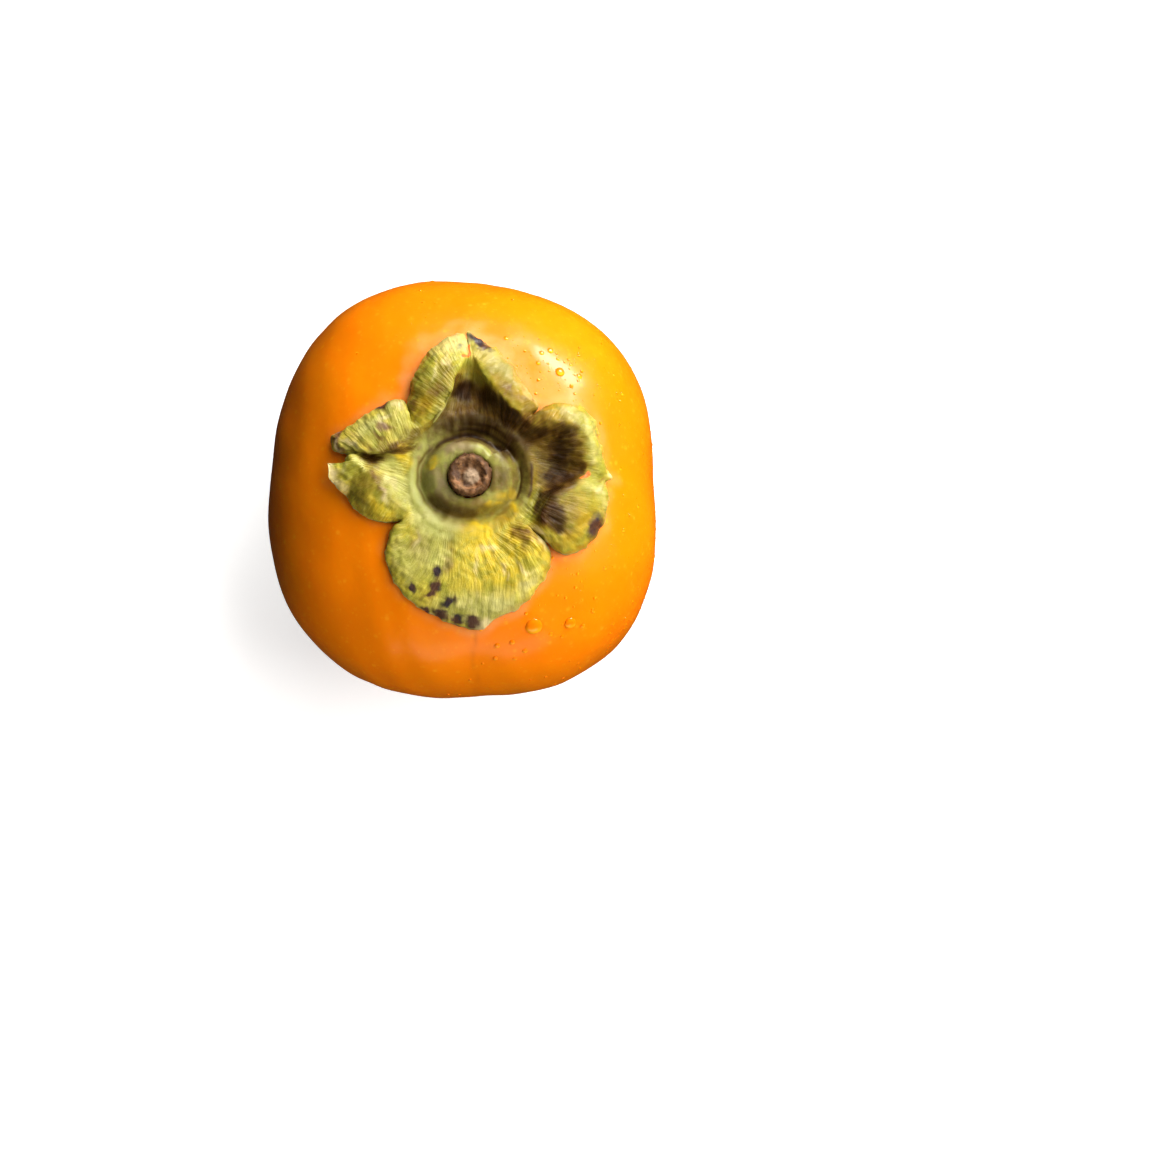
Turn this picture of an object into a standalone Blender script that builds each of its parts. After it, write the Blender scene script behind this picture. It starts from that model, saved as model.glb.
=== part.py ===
"""Persimmon: one fruit standing on its blossom end, with its calyx and stem stub on top.

Metres, +Z up. The origin is on the surface that the fruit stands on, under its middle.
The fruit, the calyx disc, the four sepals, the stem stub and the dried style are separate
solids that keep a small gap where they meet.
"""

import math

import bmesh
import bpy
from mathutils import Vector

MM = 0.001
GAP = 0.3 * MM  # between pieces that touch

# Fruit: a squat rounded square seen from above
MEAN_RADIUS = 39.6 * MM
EQUATOR_HEIGHT = 32.0 * MM  # height of the widest level
CROWN_RISE = 29.0 * MM  # from the widest level to the top, without the basin
CROWN_POWER = 2.25  # 2 gives an ellipse, more a squarer shoulder
BELLY_POWER = 2.02
# waves round the outline, half their height, heading of a crest
OUTLINE_WAVES = (
    (2, 1.51 * MM, 95.4),
    (3, 0.44 * MM, -30.0),
    (4, 1.14 * MM, 42.9),
    (5, 0.24 * MM, -35.5),
)
# heading, depth and angular width of the shallow furrows that run down the side
FURROWS = ((-86.0, 0.5 * MM, 8.0), (172.0, 0.4 * MM, 9.0), (82.0, 0.3 * MM, 9.0), (4.0, 0.3 * MM, 9.0))
OUTLINE_SHIFT = Vector((0.2, -0.57)) * MM  # brings the outline's box onto the origin
STEM_AXIS = Vector((2.3, -0.9)) * MM  # the stem stands a little off the middle
BASIN_DEPTH = 5.0 * MM
BASIN_WIDTH = 16.0 * MM
FOOT_RADIUS = 9.5 * MM  # outer edge of the flat ring that it stands on
PIT_RADIUS = 4.2 * MM  # blossom pit inside that ring
PIT_DEPTH = 2.4 * MM
FRUIT_SEGMENTS = 64
CROWN_ROWS = 13
BELLY_ROWS = 12
PIT_ROWS = 3

# Calyx disc: a dome round the stem, an oval groove and a flat rim
RIM_RADIUS = 11.5 * MM
GROOVE_RADII = (9.3 * MM, 7.5 * MM)  # along X and along Y
DOME_TOP_RADIUS = 5.4 * MM
DOME_HEIGHT = 5.0 * MM  # above the middle of the basin
GROOVE_HEIGHT = 2.4 * MM
RIM_HEIGHT = 3.4 * MM
DISC_SEGMENTS = 48

# Stem stub in its socket
STUB_RADIUS = 3.8 * MM
STUB_HEIGHT = 2.2 * MM  # above the dome
SOCKET_DEPTH = 2.0 * MM

# Sepals
SHELL_THICKNESS = 1.3 * MM
SKIN_CLEARANCE = 0.4 * MM
ACROSS = 27  # sections across one sepal
WALL_ROWS = 5
ROLL_ROWS = 5
# Each rib runs from the disc's rim over a crest to the sepal's margin. Its two points are
# X and Y from the stem's axis, and the lift above the fruit's skin, in millimetres.
SEPALS = {
    "sepal_back": {
        "notches": (45.0, 137.0),
        "pocket": 1.3,
        "ribs": (
            ((10.2, 10.2, 3.0), (11.4, 11.4, 1.2)),
            ((9.4, 11.4, 4.6), (12.2, 13.3, 0.9)),
            ((6.9, 13.3, 5.0), (10.7, 15.8, 0.9)),
            ((4.8, 15.9, 4.9), (8.9, 18.7, 0.9)),
            ((2.9, 18.4, 4.4), (7.0, 21.4, 0.9)),
            ((1.5, 20.8, 3.4), (4.6, 23.6, 1.0)),
            ((0.2, 22.2, 2.4), (-0.3, 26.6, 1.1)),
            ((-1.2, 21.4, 3.4), (-3.2, 26.4, 0.9)),
            ((-2.5, 18.4, 4.4), (-6.6, 24.2, 0.9)),
            ((-3.1, 15.6, 4.7), (-9.2, 20.8, 0.9)),
            ((-4.6, 12.6, 4.6), (-10.9, 16.6, 0.9)),
            ((-6.4, 10.9, 4.0), (-11.3, 13.6, 0.9)),
            ((-8.8, 9.4, 3.0), (-10.7, 10.8, 1.2)),
        ),
    },
    "sepal_right": {
        "notches": (-41.0, 43.0),
        "pocket": 1.3,
        "ribs": (
            ((11.0, -8.6, 3.0), (11.9, -9.7, 1.2)),
            ((12.8, -8.6, 4.2), (14.4, -12.2, 0.9)),
            ((13.1, -7.2, 4.9), (17.6, -13.9, 0.9)),
            ((13.7, -5.6, 5.0), (21.8, -11.4, 0.9)),
            ((14.8, -4.0, 4.9), (24.2, -7.8, 0.9)),
            ((17.0, -2.7, 4.5), (24.9, -4.0, 0.9)),
            ((20.6, -0.2, 3.2), (25.3, 0.2, 1.3)),
            ((22.4, 2.9, 4.3), (24.3, 3.4, 0.9)),
            ((21.9, 6.2, 5.0), (23.5, 7.6, 0.9)),
            ((20.0, 8.8, 5.0), (22.3, 11.6, 0.9)),
            ((16.8, 10.0, 4.8), (19.6, 13.6, 0.9)),
            ((13.6, 10.4, 4.3), (15.0, 13.6, 0.9)),
            ((11.4, 10.0, 3.0), (12.5, 11.4, 1.2)),
        ),
    },
    "sepal_front": {
        "notches": (-146.0, -43.0),
        "pocket": 0.3,
        "ribs": (
            ((-10.8, -7.8, 2.6), (-12.4, -8.8, 1.2)),
            ((-11.9, -9.7, 2.3), (-14.6, -10.4, 0.9)),
            ((-12.0, -12.5, 2.0), (-15.5, -14.0, 0.9)),
            ((-10.3, -15.8, 1.9), (-14.0, -18.6, 0.9)),
            ((-7.0, -17.9, 1.9), (-10.6, -22.6, 0.9)),
            ((-3.6, -18.6, 1.9), (-5.6, -25.6, 0.9)),
            ((-0.6, -19.1, 2.1), (-1.4, -27.1, 0.9)),
            ((2.6, -19.2, 2.4), (2.6, -27.2, 1.0)),
            ((5.6, -17.9, 2.7), (5.2, -25.4, 0.9)),
            ((8.6, -16.0, 3.2), (10.0, -22.8, 0.9)),
            ((10.6, -13.6, 3.8), (13.2, -18.6, 0.9)),
            ((11.2, -11.4, 3.8), (14.3, -14.2, 0.9)),
            ((10.2, -9.3, 3.0), (11.4, -10.7, 1.2)),
        ),
    },
    "sepal_left": {
        "notches": (139.0, 212.0),
        "pocket": 0.2,
        "ribs": (
            ((-9.8, 8.8, 3.0), (-11.7, 9.8, 1.3)),
            ((-11.2, 8.0, 3.6), (-13.3, 14.0, 1.2)),
            ((-13.2, 5.4, 3.6), (-16.6, 12.9, 1.0)),
            ((-15.6, 4.4, 3.3), (-20.5, 10.7, 0.9)),
            ((-18.4, 4.2, 3.0), (-23.4, 9.0, 0.9)),
            ((-20.8, 4.4, 2.6), (-25.4, 7.2, 1.1)),
            ((-21.4, 3.6, 2.0), (-24.2, 4.0, 1.2)),
            ((-21.0, 2.8, 2.9), (-25.4, 1.8, 2.2)),
            ((-19.6, 1.6, 3.5), (-24.6, -1.2, 1.8)),
            ((-17.8, -0.4, 3.7), (-22.2, -4.0, 0.9)),
            ((-15.6, -3.2, 3.6), (-19.2, -7.1, 0.9)),
            ((-12.6, -5.7, 3.2), (-14.6, -8.0, 1.0)),
            ((-10.9, -6.6, 2.8), (-12.2, -7.4, 1.2)),
        ),
    },
}

# Dried style in the blossom pit
STYLE_RADIUS = 0.9 * MM
STYLE_LENGTH = 1.3 * MM


def clear_scene():
    for item in list(bpy.data.objects):
        bpy.data.objects.remove(item, do_unlink=True)


def make_material(name, colour, roughness, metallic=0.0):
    material = bpy.data.materials.new(name)
    material.use_nodes = True
    shader = material.node_tree.nodes["Principled BSDF"]
    shader.inputs["Base Color"].default_value = (*colour, 1.0)
    shader.inputs["Roughness"].default_value = roughness
    shader.inputs["Metallic"].default_value = metallic
    return material


def add_object(name, mesh_builder, material, sharp_angle=60.0):
    mesh = bpy.data.meshes.new(name)
    mesh_builder.to_mesh(mesh)
    mesh_builder.free()
    mesh.shade_smooth()
    mesh.set_sharp_from_angle(angle=math.radians(sharp_angle))
    mesh.materials.append(material)
    made = bpy.data.objects.new(name, mesh)
    bpy.context.scene.collection.objects.link(made)
    return made


def outline_radius(heading):
    """Radius of the fruit's outline at its widest level."""
    radius = MEAN_RADIUS
    for count, size, crest in OUTLINE_WAVES:
        radius += size * math.cos(count * (heading - math.radians(crest)))
    for middle, depth, width in FURROWS:
        turn = math.remainder(heading - math.radians(middle), math.tau)
        radius -= depth * math.exp(-((turn / math.radians(width)) ** 2))
    return radius


def crown_point(share, heading):
    """A point of the upper skin: share is 0 under the stem and 1 at the widest level."""
    centre = STEM_AXIS.lerp(OUTLINE_SHIFT, 1 - (1 - share**2) ** 2)
    radius = share * outline_radius(heading)
    rise = CROWN_RISE * (1 - share**CROWN_POWER) ** (1 / CROWN_POWER)
    basin = BASIN_DEPTH * math.exp(-((share * MEAN_RADIUS / BASIN_WIDTH) ** 2))
    return Vector(
        (
            centre.x + radius * math.cos(heading),
            centre.y + radius * math.sin(heading),
            EQUATOR_HEIGHT + rise - basin,
        )
    )


def skin_height(x, y):
    """Height of the upper skin over a point of the plan."""
    share = 0.5
    for _ in range(12):
        centre = STEM_AXIS.lerp(OUTLINE_SHIFT, 1 - (1 - share**2) ** 2)
        offset = Vector((x, y)) - centre
        heading = math.atan2(offset.y, offset.x)
        share = min(offset.length / outline_radius(heading), 1.0)
    return crown_point(share, heading).z


def belly_point(share, heading):
    """A point of the lower skin: share is 0 at the foot's edge and 1 at the widest level."""
    radius = FOOT_RADIUS + (outline_radius(heading) - FOOT_RADIUS) * share
    fall = (1 - share**BELLY_POWER) ** (1 / BELLY_POWER)
    return Vector(
        (
            OUTLINE_SHIFT.x * share + radius * math.cos(heading),
            OUTLINE_SHIFT.y * share + radius * math.sin(heading),
            EQUATOR_HEIGHT * (1 - fall),
        )
    )


def pit_point(share, heading):
    """A point of the blossom pit: share is 0 at its middle and 1 at its edge on the foot."""
    radius = PIT_RADIUS * share
    height = PIT_DEPTH * (1 - share**2) ** 2
    return Vector((radius * math.cos(heading), radius * math.sin(heading), height))


def profile_shares(rows, power):
    """Shares from just over 0 up to just under 1, spaced evenly along a superellipse."""
    turns = (math.pi / 2 * row / rows for row in range(1, rows))
    return [math.sin(turn) ** (2 / power) for turn in turns]


def ring_of(point_at, share, segments):
    return [point_at(share, math.tau * step / segments) for step in range(segments)]


def loft(rings, first_point, last_point):
    """A closed skin over rings of points, with a fan to a point at either end."""
    build = bmesh.new()
    rows = [[build.verts.new(point) for point in ring] for ring in rings]
    count = len(rings[0])
    for lower, upper in zip(rows, rows[1:]):
        for i in range(count):
            j = (i + 1) % count
            build.faces.new((lower[i], lower[j], upper[j], upper[i]))
    for row, tip in ((rows[0], build.verts.new(first_point)), (rows[-1], build.verts.new(last_point))):
        for i in range(count):
            build.faces.new((row[i], row[(i + 1) % count], tip))
    bmesh.ops.recalc_face_normals(build, faces=build.faces)
    return build


def make_fruit(material):
    rings = [ring_of(pit_point, (row + 1) / PIT_ROWS, FRUIT_SEGMENTS) for row in range(PIT_ROWS)]
    rings.append(ring_of(belly_point, 0.0, FRUIT_SEGMENTS))
    lower_shares = profile_shares(BELLY_ROWS, BELLY_POWER)
    rings += [ring_of(belly_point, share, FRUIT_SEGMENTS) for share in lower_shares]
    rings.append(ring_of(crown_point, 1.0, FRUIT_SEGMENTS))
    upper_shares = reversed(profile_shares(CROWN_ROWS, CROWN_POWER))
    rings += [ring_of(crown_point, share, FRUIT_SEGMENTS) for share in upper_shares]
    build = loft(rings, pit_point(0.0, 0.0), crown_point(0.0, 0.0))
    return add_object("fruit", build, material)


def disc_ring(radius_x, radius_y, height):
    """One level ring round the stem's axis, height above the middle of the basin."""
    base = crown_point(0.0, 0.0).z
    turns = [math.tau * step / DISC_SEGMENTS for step in range(DISC_SEGMENTS)]
    return [
        Vector(
            (
                STEM_AXIS.x + radius_x * math.cos(turn),
                STEM_AXIS.y + radius_y * math.sin(turn),
                base + height,
            )
        )
        for turn in turns
    ]


def laid_ring(radius, lift):
    """One ring round the stem's axis that follows the skin at a lift above it."""
    ring = disc_ring(radius, radius, 0.0)
    return [Vector((point.x, point.y, skin_height(point.x, point.y) + lift)) for point in ring]


def make_disc(material):
    groove_x, groove_y = GROOVE_RADII
    socket = STUB_RADIUS + GAP
    floor = DOME_HEIGHT - SOCKET_DEPTH
    shoulder = (DOME_HEIGHT + GROOVE_HEIGHT) / 2
    rings = [
        laid_ring(RIM_RADIUS / 2, SKIN_CLEARANCE),
        laid_ring(RIM_RADIUS - 0.6 * MM, SKIN_CLEARANCE),
        laid_ring(RIM_RADIUS, SKIN_CLEARANCE + 0.6 * MM),
        disc_ring(RIM_RADIUS, RIM_RADIUS, RIM_HEIGHT - 0.4 * MM),
        disc_ring(RIM_RADIUS - 0.4 * MM, RIM_RADIUS - 0.4 * MM, RIM_HEIGHT),
        disc_ring(groove_x + 0.8 * MM, groove_y + 1.6 * MM, RIM_HEIGHT - 0.1 * MM),
        disc_ring(groove_x + 0.3 * MM, groove_y + 0.5 * MM, GROOVE_HEIGHT + 0.2 * MM),
        disc_ring(groove_x - 0.3 * MM, groove_y - 0.1 * MM, GROOVE_HEIGHT),
        disc_ring(groove_x - 1.2 * MM, groove_y - 0.6 * MM, shoulder),
        disc_ring(groove_x - 2.2 * MM, groove_y - 1.2 * MM, DOME_HEIGHT - 0.4 * MM),
        disc_ring(DOME_TOP_RADIUS, DOME_TOP_RADIUS - 0.2 * MM, DOME_HEIGHT),
        disc_ring(socket, socket, DOME_HEIGHT),
        disc_ring(socket, socket, floor),
    ]
    middle = crown_point(0.0, 0.0)
    under = middle + Vector((0.0, 0.0, SKIN_CLEARANCE))
    build = loft(rings, under, middle + Vector((0.0, 0.0, floor)))
    return add_object("calyx_disc", build, material)


def spline(points, place):
    """A smooth curve through the points, place running from 0 to 1."""
    spans = len(points) - 1
    span = min(int(place * spans), spans - 1)
    t = place * spans - span
    before = points[max(span - 1, 0)]
    start = points[span]
    end = points[span + 1]
    after = points[min(span + 2, spans)]
    bend = 2 * before - 5 * start + 4 * end - after
    twist = 3 * (start - end) + after - before
    return 0.5 * (2 * start + (end - before) * t + bend * t**2 + twist * t**3)


def sepal_section(sepal, place):
    """Points of one section from the disc's rim over the crest to the margin, with the skin below."""
    first, last = sepal["notches"]
    heading = math.radians(first + (last - first) * place)
    foot_radius = RIM_RADIUS + GAP
    foot = Vector((foot_radius * math.cos(heading), foot_radius * math.sin(heading)))
    crest = spline([Vector(rib[0]) * MM for rib in sepal["ribs"]], place)
    margin = spline([Vector(rib[1]) * MM for rib in sepal["ribs"]], place)
    base = crown_point(0.0, 0.0).z
    foot_lift = base + RIM_HEIGHT - 0.4 * MM - skin_height(*(foot + STEM_AXIS))
    pocket = sepal["pocket"] * MM * math.sin(math.pi * place)
    points = []
    for row in range(WALL_ROWS):
        t = row / WALL_ROWS
        rise = t * t * (3 - 2 * t)
        flat = foot.lerp(crest.xy, t)
        lift = foot_lift + (crest.z - foot_lift) * rise - pocket * math.sin(math.pi * t)
        points.append((flat, lift))
    for row in range(ROLL_ROWS + 1):
        turn = math.pi / 2 * row / ROLL_ROWS
        flat = crest.xy.lerp(margin.xy, math.sin(turn))
        lift = margin.z + (crest.z - margin.z) * math.cos(turn)
        points.append((flat, lift))
    top = []
    under = []
    for flat, lift in points:
        x, y = flat + STEM_AXIS
        skin = skin_height(x, y)
        top.append(Vector((x, y, skin + lift)))
        under.append(Vector((x, y, skin + max(lift - SHELL_THICKNESS, SKIN_CLEARANCE))))
    return top, under


def make_sepal(name, material):
    """A bowed shell: each section is a closed loop of its upper side and its underside."""
    build = bmesh.new()
    loops = []
    for step in range(ACROSS):
        top, under = sepal_section(SEPALS[name], step / (ACROSS - 1))
        loops.append([build.verts.new(point) for point in top + under[::-1]])
    count = len(loops[0])
    for here, there in zip(loops, loops[1:]):
        for i in range(count):
            j = (i + 1) % count
            build.faces.new((here[i], here[j], there[j], there[i]))
    rows = count // 2
    for end in (loops[0], loops[-1]):
        for i in range(rows - 1):
            build.faces.new((end[i], end[i + 1], end[count - 2 - i], end[count - 1 - i]))
    bmesh.ops.recalc_face_normals(build, faces=build.faces)
    return add_object(name, build, material)


def make_stub(material):
    """The cut stem: a short ribbed peg with a raised bark ring round a sunken pith."""
    floor = DOME_HEIGHT - SOCKET_DEPTH + GAP
    top = DOME_HEIGHT + STUB_HEIGHT
    profile = (
        (STUB_RADIUS - 0.4 * MM, floor),
        (STUB_RADIUS, floor + 0.4 * MM),
        (STUB_RADIUS, top - 0.7 * MM),
        (STUB_RADIUS - 0.35 * MM, top - 0.15 * MM),
        (STUB_RADIUS - 0.9 * MM, top),
        (STUB_RADIUS - 1.5 * MM, top - 0.3 * MM),
        (STUB_RADIUS - 2.1 * MM, top - 0.6 * MM),
        (1.1 * MM, top - 0.45 * MM),
    )
    rings = [disc_ring(radius, radius, height) for radius, height in profile]
    middle = crown_point(0.0, 0.0)
    foot = middle + Vector((0.0, 0.0, floor))
    pith = middle + Vector((0.0, 0.0, top - 0.3 * MM))
    return add_object("stem_stub", loft(rings, foot, pith), material)


def make_style(material):
    """The dried style: a small tapered peg that hangs in the blossom pit."""
    build = bmesh.new()
    bmesh.ops.create_cone(
        build,
        cap_ends=True,
        cap_tris=True,
        segments=16,
        radius1=STYLE_RADIUS * 0.55,
        radius2=STYLE_RADIUS,
        depth=STYLE_LENGTH,
    )
    drop = PIT_DEPTH * (1 - (STYLE_RADIUS / PIT_RADIUS) ** 2) ** 2 - GAP - STYLE_LENGTH / 2
    bmesh.ops.translate(build, vec=Vector((0.0, 0.0, drop)), verts=build.verts)
    return add_object("style_scar", build, material)


def main():
    clear_scene()
    make_fruit(make_material("skin", (0.85, 0.25, 0.01), 0.3))
    make_disc(make_material("calyx_green", (0.38, 0.42, 0.1), 0.55))
    leaf = make_material("sepal_leaf", (0.45, 0.4, 0.1), 0.6)
    for name in SEPALS:
        make_sepal(name, leaf)
    make_stub(make_material("stem_wood", (0.2, 0.11, 0.05), 0.7))
    make_style(make_material("dry_style", (0.05, 0.025, 0.012), 0.8))


main()
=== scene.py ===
import math

import bpy
import numpy as np
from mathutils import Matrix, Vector


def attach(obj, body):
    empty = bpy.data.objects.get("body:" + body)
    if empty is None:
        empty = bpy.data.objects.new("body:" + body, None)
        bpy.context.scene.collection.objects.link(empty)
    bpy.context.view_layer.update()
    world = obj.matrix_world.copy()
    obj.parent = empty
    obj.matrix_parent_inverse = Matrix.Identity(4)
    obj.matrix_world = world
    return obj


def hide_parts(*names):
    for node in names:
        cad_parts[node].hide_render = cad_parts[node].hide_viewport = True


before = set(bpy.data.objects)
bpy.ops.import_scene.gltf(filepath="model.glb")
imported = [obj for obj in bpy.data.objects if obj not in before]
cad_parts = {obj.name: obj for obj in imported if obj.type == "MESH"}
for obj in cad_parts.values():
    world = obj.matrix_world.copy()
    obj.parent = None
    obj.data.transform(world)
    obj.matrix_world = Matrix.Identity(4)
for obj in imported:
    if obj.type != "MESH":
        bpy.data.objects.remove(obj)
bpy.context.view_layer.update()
mm = 0.001  # the shapes below are worked out in millimetres


def smoothStep(low, high, value):
    share = np.clip((value - low) / (high - low), 0, 1)
    return share * share * (3 - 2 * share)


def bump(value, middle, width):
    return np.exp(-(((value - middle) / width) ** 2))


def bumps(value, places):
    # several bumps added up: middle, width, height
    return sum(height * bump(value, middle, width) for middle, width, height in places)


def wander(points, size, seed, waves=16):
    # a smooth random field, mostly from -1 to 1, with lumps of about this size
    rng = np.random.default_rng(seed)
    directions = rng.normal(size=(waves, points.shape[1]))
    directions /= np.linalg.norm(directions, axis=1)[:, None]
    lengths = size * rng.uniform(1.2, 3.2, waves)
    phases = rng.uniform(0, math.tau, waves)
    turns = points @ (directions / lengths[:, None]).T * math.tau + phases
    return np.sin(turns).sum(axis=1) / math.sqrt(waves)


def layered(points, layers):
    # random fields added up: strength, size, seed
    return sum(strength * wander(points, size, seed) for strength, size, seed in layers)


def sway(points, strength, size, seed):
    # a smooth random shift in X and Y
    return strength * np.column_stack([wander(points, size, seed), wander(points, size, seed + 1)])


def smoothCurve(points, places):
    # Catmull-Rom through the points; places run from 0 to 1
    points = np.asarray(points, float)
    spans = len(points) - 1
    span = np.clip((places * spans).astype(int), 0, spans - 1)
    t = (places * spans - span)[:, None]
    before = points[np.maximum(span - 1, 0)]
    start = points[span]
    end = points[span + 1]
    after = points[np.minimum(span + 2, spans)]
    bend = 2 * before - 5 * start + 4 * end - after
    twist = 3 * (start - end) + after - before
    return 0.5 * (2 * start + (end - before) * t + bend * t**2 + twist * t**3)


def stepShares(count):
    # equal steps that end at 1
    return np.arange(1, count + 1) / count


def headingSteps(columns):
    return math.tau * np.arange(columns) / columns


def compass(heading):
    # X and Y of a step one millimetre long
    return np.stack([np.cos(heading), np.sin(heading)], axis=1)


def gridFaces(rows, columns, closeRows=False):
    # quads of a grid whose columns wrap round; its rows too where closeRows is set
    lastRow = rows if closeRows else rows - 1
    row, column = np.meshgrid(np.arange(lastRow), np.arange(columns), indexing="ij")
    above = (row + 1) % rows * columns
    beside = (column + 1) % columns
    row = row * columns
    corners = (row + column, row + beside, above + beside, above + column)
    return np.stack([corner.ravel() for corner in corners], axis=1)


def closedFaces(rows, columns):
    # the grid's faces, with a fan at each end to the two points that follow the grid's own
    faces = gridFaces(rows, columns).tolist()
    count = rows * columns
    for column in range(columns):
        beside = (column + 1) % columns
        faces.append((beside, column, count))
        faces.append((count - columns + column, count - columns + beside, count + 1))
    return faces


def gridNormals(points, rows, columns, closeRows=False):
    grid = points.reshape(rows, columns, 3)
    across = np.roll(grid, -1, axis=1) - np.roll(grid, 1, axis=1)
    if closeRows:
        along = np.roll(grid, -1, axis=0) - np.roll(grid, 1, axis=0)
    else:
        along = np.gradient(grid, axis=0)
    normals = np.cross(across, along)
    normals /= np.maximum(np.linalg.norm(normals, axis=2, keepdims=True), 1e-9)
    return normals.reshape(-1, 3)


def makeObject(name, points, faces, material, attributes=None):
    mesh = bpy.data.meshes.new(name)
    mesh.from_pydata((np.asarray(points) * mm).tolist(), [], faces)
    mesh.shade_smooth()
    mesh.materials.append(material)
    for key, values in (attributes or {}).items():
        mesh.attributes.new(key, "FLOAT", "POINT").data.foreach_set("value", np.asarray(values, np.float32))
    made = bpy.data.objects.new(name, mesh)
    bpy.context.scene.collection.objects.link(made)
    print(name, len(points), "points")
    return made


def startMaterial(name, **values):
    material = bpy.data.materials.new(name)
    material.use_nodes = True
    shader = material.node_tree.nodes["Principled BSDF"]
    for key, value in values.items():
        shader.inputs[key.replace("_", " ")].default_value = value
    return material, material.node_tree, shader


def addNode(tree, kind, inputs=None, **settings):
    node = tree.nodes.new(kind)
    for key, value in settings.items():
        setattr(node, key, value)
    for key, value in (inputs or {}).items():
        if isinstance(value, bpy.types.NodeSocket):
            tree.links.new(value, node.inputs[key])
        else:
            node.inputs[key].default_value = value
    return node


def mixColour(tree, share, first, second):
    node = addNode(tree, "ShaderNodeMix", data_type="RGBA")
    tree.links.new(share, node.inputs[0])
    for socket, value in ((node.inputs[6], first), (node.inputs[7], second)):
        if isinstance(value, bpy.types.NodeSocket):
            tree.links.new(value, socket)
        else:
            socket.default_value = (*value, 1.0)
    return node.outputs[2]


def mapRange(tree, value, low, high, start=0.0, end=1.0):
    inputs = {"Value": value, "From Min": low, "From Max": high, "To Min": start, "To Max": end}
    return addNode(tree, "ShaderNodeMapRange", inputs, interpolation_type="SMOOTHSTEP").outputs[0]


def tint(tree, colour, second, value, *ends):
    # the second colour comes in as the value goes from low to high, from a first share to a last
    return mixColour(tree, mapRange(tree, value, *ends), colour, second)


def mathNode(tree, operation, first, second):
    return addNode(tree, "ShaderNodeMath", {0: first, 1: second}, operation=operation).outputs[0]


def times(tree, first, second):
    return mathNode(tree, "MULTIPLY", first, second)


def darken(tree, colour, share, tone):
    # each channel falls evenly to its own fraction as the share rises from 0 to 1
    parts = addNode(tree, "ShaderNodeSeparateColor", {"Color": colour}).outputs
    inputs = {}
    for index, channel in enumerate(("Red", "Green", "Blue")):
        inputs[channel] = times(tree, parts[index], mathNode(tree, "POWER", tone[index], share))
    return addNode(tree, "ShaderNodeCombineColor", inputs).outputs[0]


def noiseNode(tree, vector, scale, detail=3.0, roughness=0.5, distortion=0.0):
    inputs = {"Vector": vector, "Scale": scale, "Detail": detail}
    inputs |= {"Roughness": roughness, "Distortion": distortion}
    return addNode(tree, "ShaderNodeTexNoise", inputs).outputs["Fac"]


def readAttribute(tree, name):
    return addNode(tree, "ShaderNodeAttribute", attribute_name=name).outputs["Fac"]


def objectCoordinates(tree):
    return addNode(tree, "ShaderNodeTexCoord").outputs["Object"]


def bumpNode(tree, height, distance):
    inputs = {"Height": height, "Distance": distance, "Strength": 1.0}
    return addNode(tree, "ShaderNodeBump", inputs).outputs[0]


fruitShape = {
    "meanRadius": 39.6,
    "equatorHeight": 32.0,
    "crownRise": 29.0,  # from the widest level up, before the basin is sunk
    "crownPower": 2.25,  # 2 is a round shoulder, more is a squarer one
    "bellyPower": 2.02,
    # swells of the outline: how many, size, heading of a crest
    "waves": ((2, 1.51, 95.4), (3, 0.44, -30.0), (4, 1.14, 42.9), (5, 0.24, -35.5)),
    # shallow furrows down the sides: heading, depth, width in degrees
    "furrows": ((-86.0, 0.5, 8.0), (172.0, 0.4, 9.0), (82.0, 0.3, 9.0), (4.0, 0.3, 9.0)),
    "outlineShift": (0.2, -0.57),  # the outline's middle and the stem's axis, from the foot's middle
    "stemAxis": (2.3, -0.9),
    "basinDepth": 5.0,
    "basinWidth": 16.0,
    "footRadius": 9.5,
    "pitRadius": 4.2,
    "pitDepth": 2.4,
    "pitPuckers": (9, 0.18),  # how many, and their share of the pit's depth
    "columns": 288,
    "pitRows": 10,
    "footRows": 4,
    "bellyRows": 60,
    "crownRows": 84,
    "lumps": 0.22,  # how far the skin wanders in from the even shape
    "uneven": ((0.6, 9.0, 11), (0.3, 4.0, 12)),  # strength, size, seed
    "inward": 1.2,  # taken off the unevenness, so that it hardly ever swells out
    "evenBelow": 6.0,  # it fades out towards the foot from this height
}
# A thin brown line down the front furrow
creaseLine = {
    "x": 2.9,
    "width": 0.35,
    "strength": 0.4,
    "bends": (0.25, 0.8),  # size, turn per millimetre
    "front": (-27.5, -30.0),  # it comes in between these Y values
    "above": (30.0, 40.0),  # and between these heights
}
# The pale bloom round the calyx, in millimetres and shares, by heading and spread in degrees
bloomShape = {
    "width": 1.8,
    "wider": ((60.0, 24.0, 3.6), (112.0, 20.0, 2.4)),
    "ragged": ((0.25, 2.5, 71),),  # strength, size, seed
    "least": 0.2,
    "stronger": (
        (60.0, 30.0, 1.0), (113.0, 16.0, 0.9), (0.0, 45.0, 0.15), (141.0, 9.0, 0.6), (-70.0, 30.0, 0.6),
    ),
}
stemAxis = np.array(fruitShape["stemAxis"])
outlineShift = np.array(fruitShape["outlineShift"])


def outlineRadius(heading):
    radius = np.full_like(heading, fruitShape["meanRadius"])
    for count, size, crest in fruitShape["waves"]:
        radius += size * np.cos(count * (heading - math.radians(crest)))
    for middle, depth, width in fruitShape["furrows"]:
        turn = (heading - math.radians(middle) + math.pi) % math.tau - math.pi
        radius -= depth * bump(turn, 0.0, math.radians(width))
    return radius


def crownCentre(share):
    drift = (1 - (1 - share**2) ** 2)[:, None]
    return stemAxis + (outlineShift - stemAxis) * drift


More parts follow.
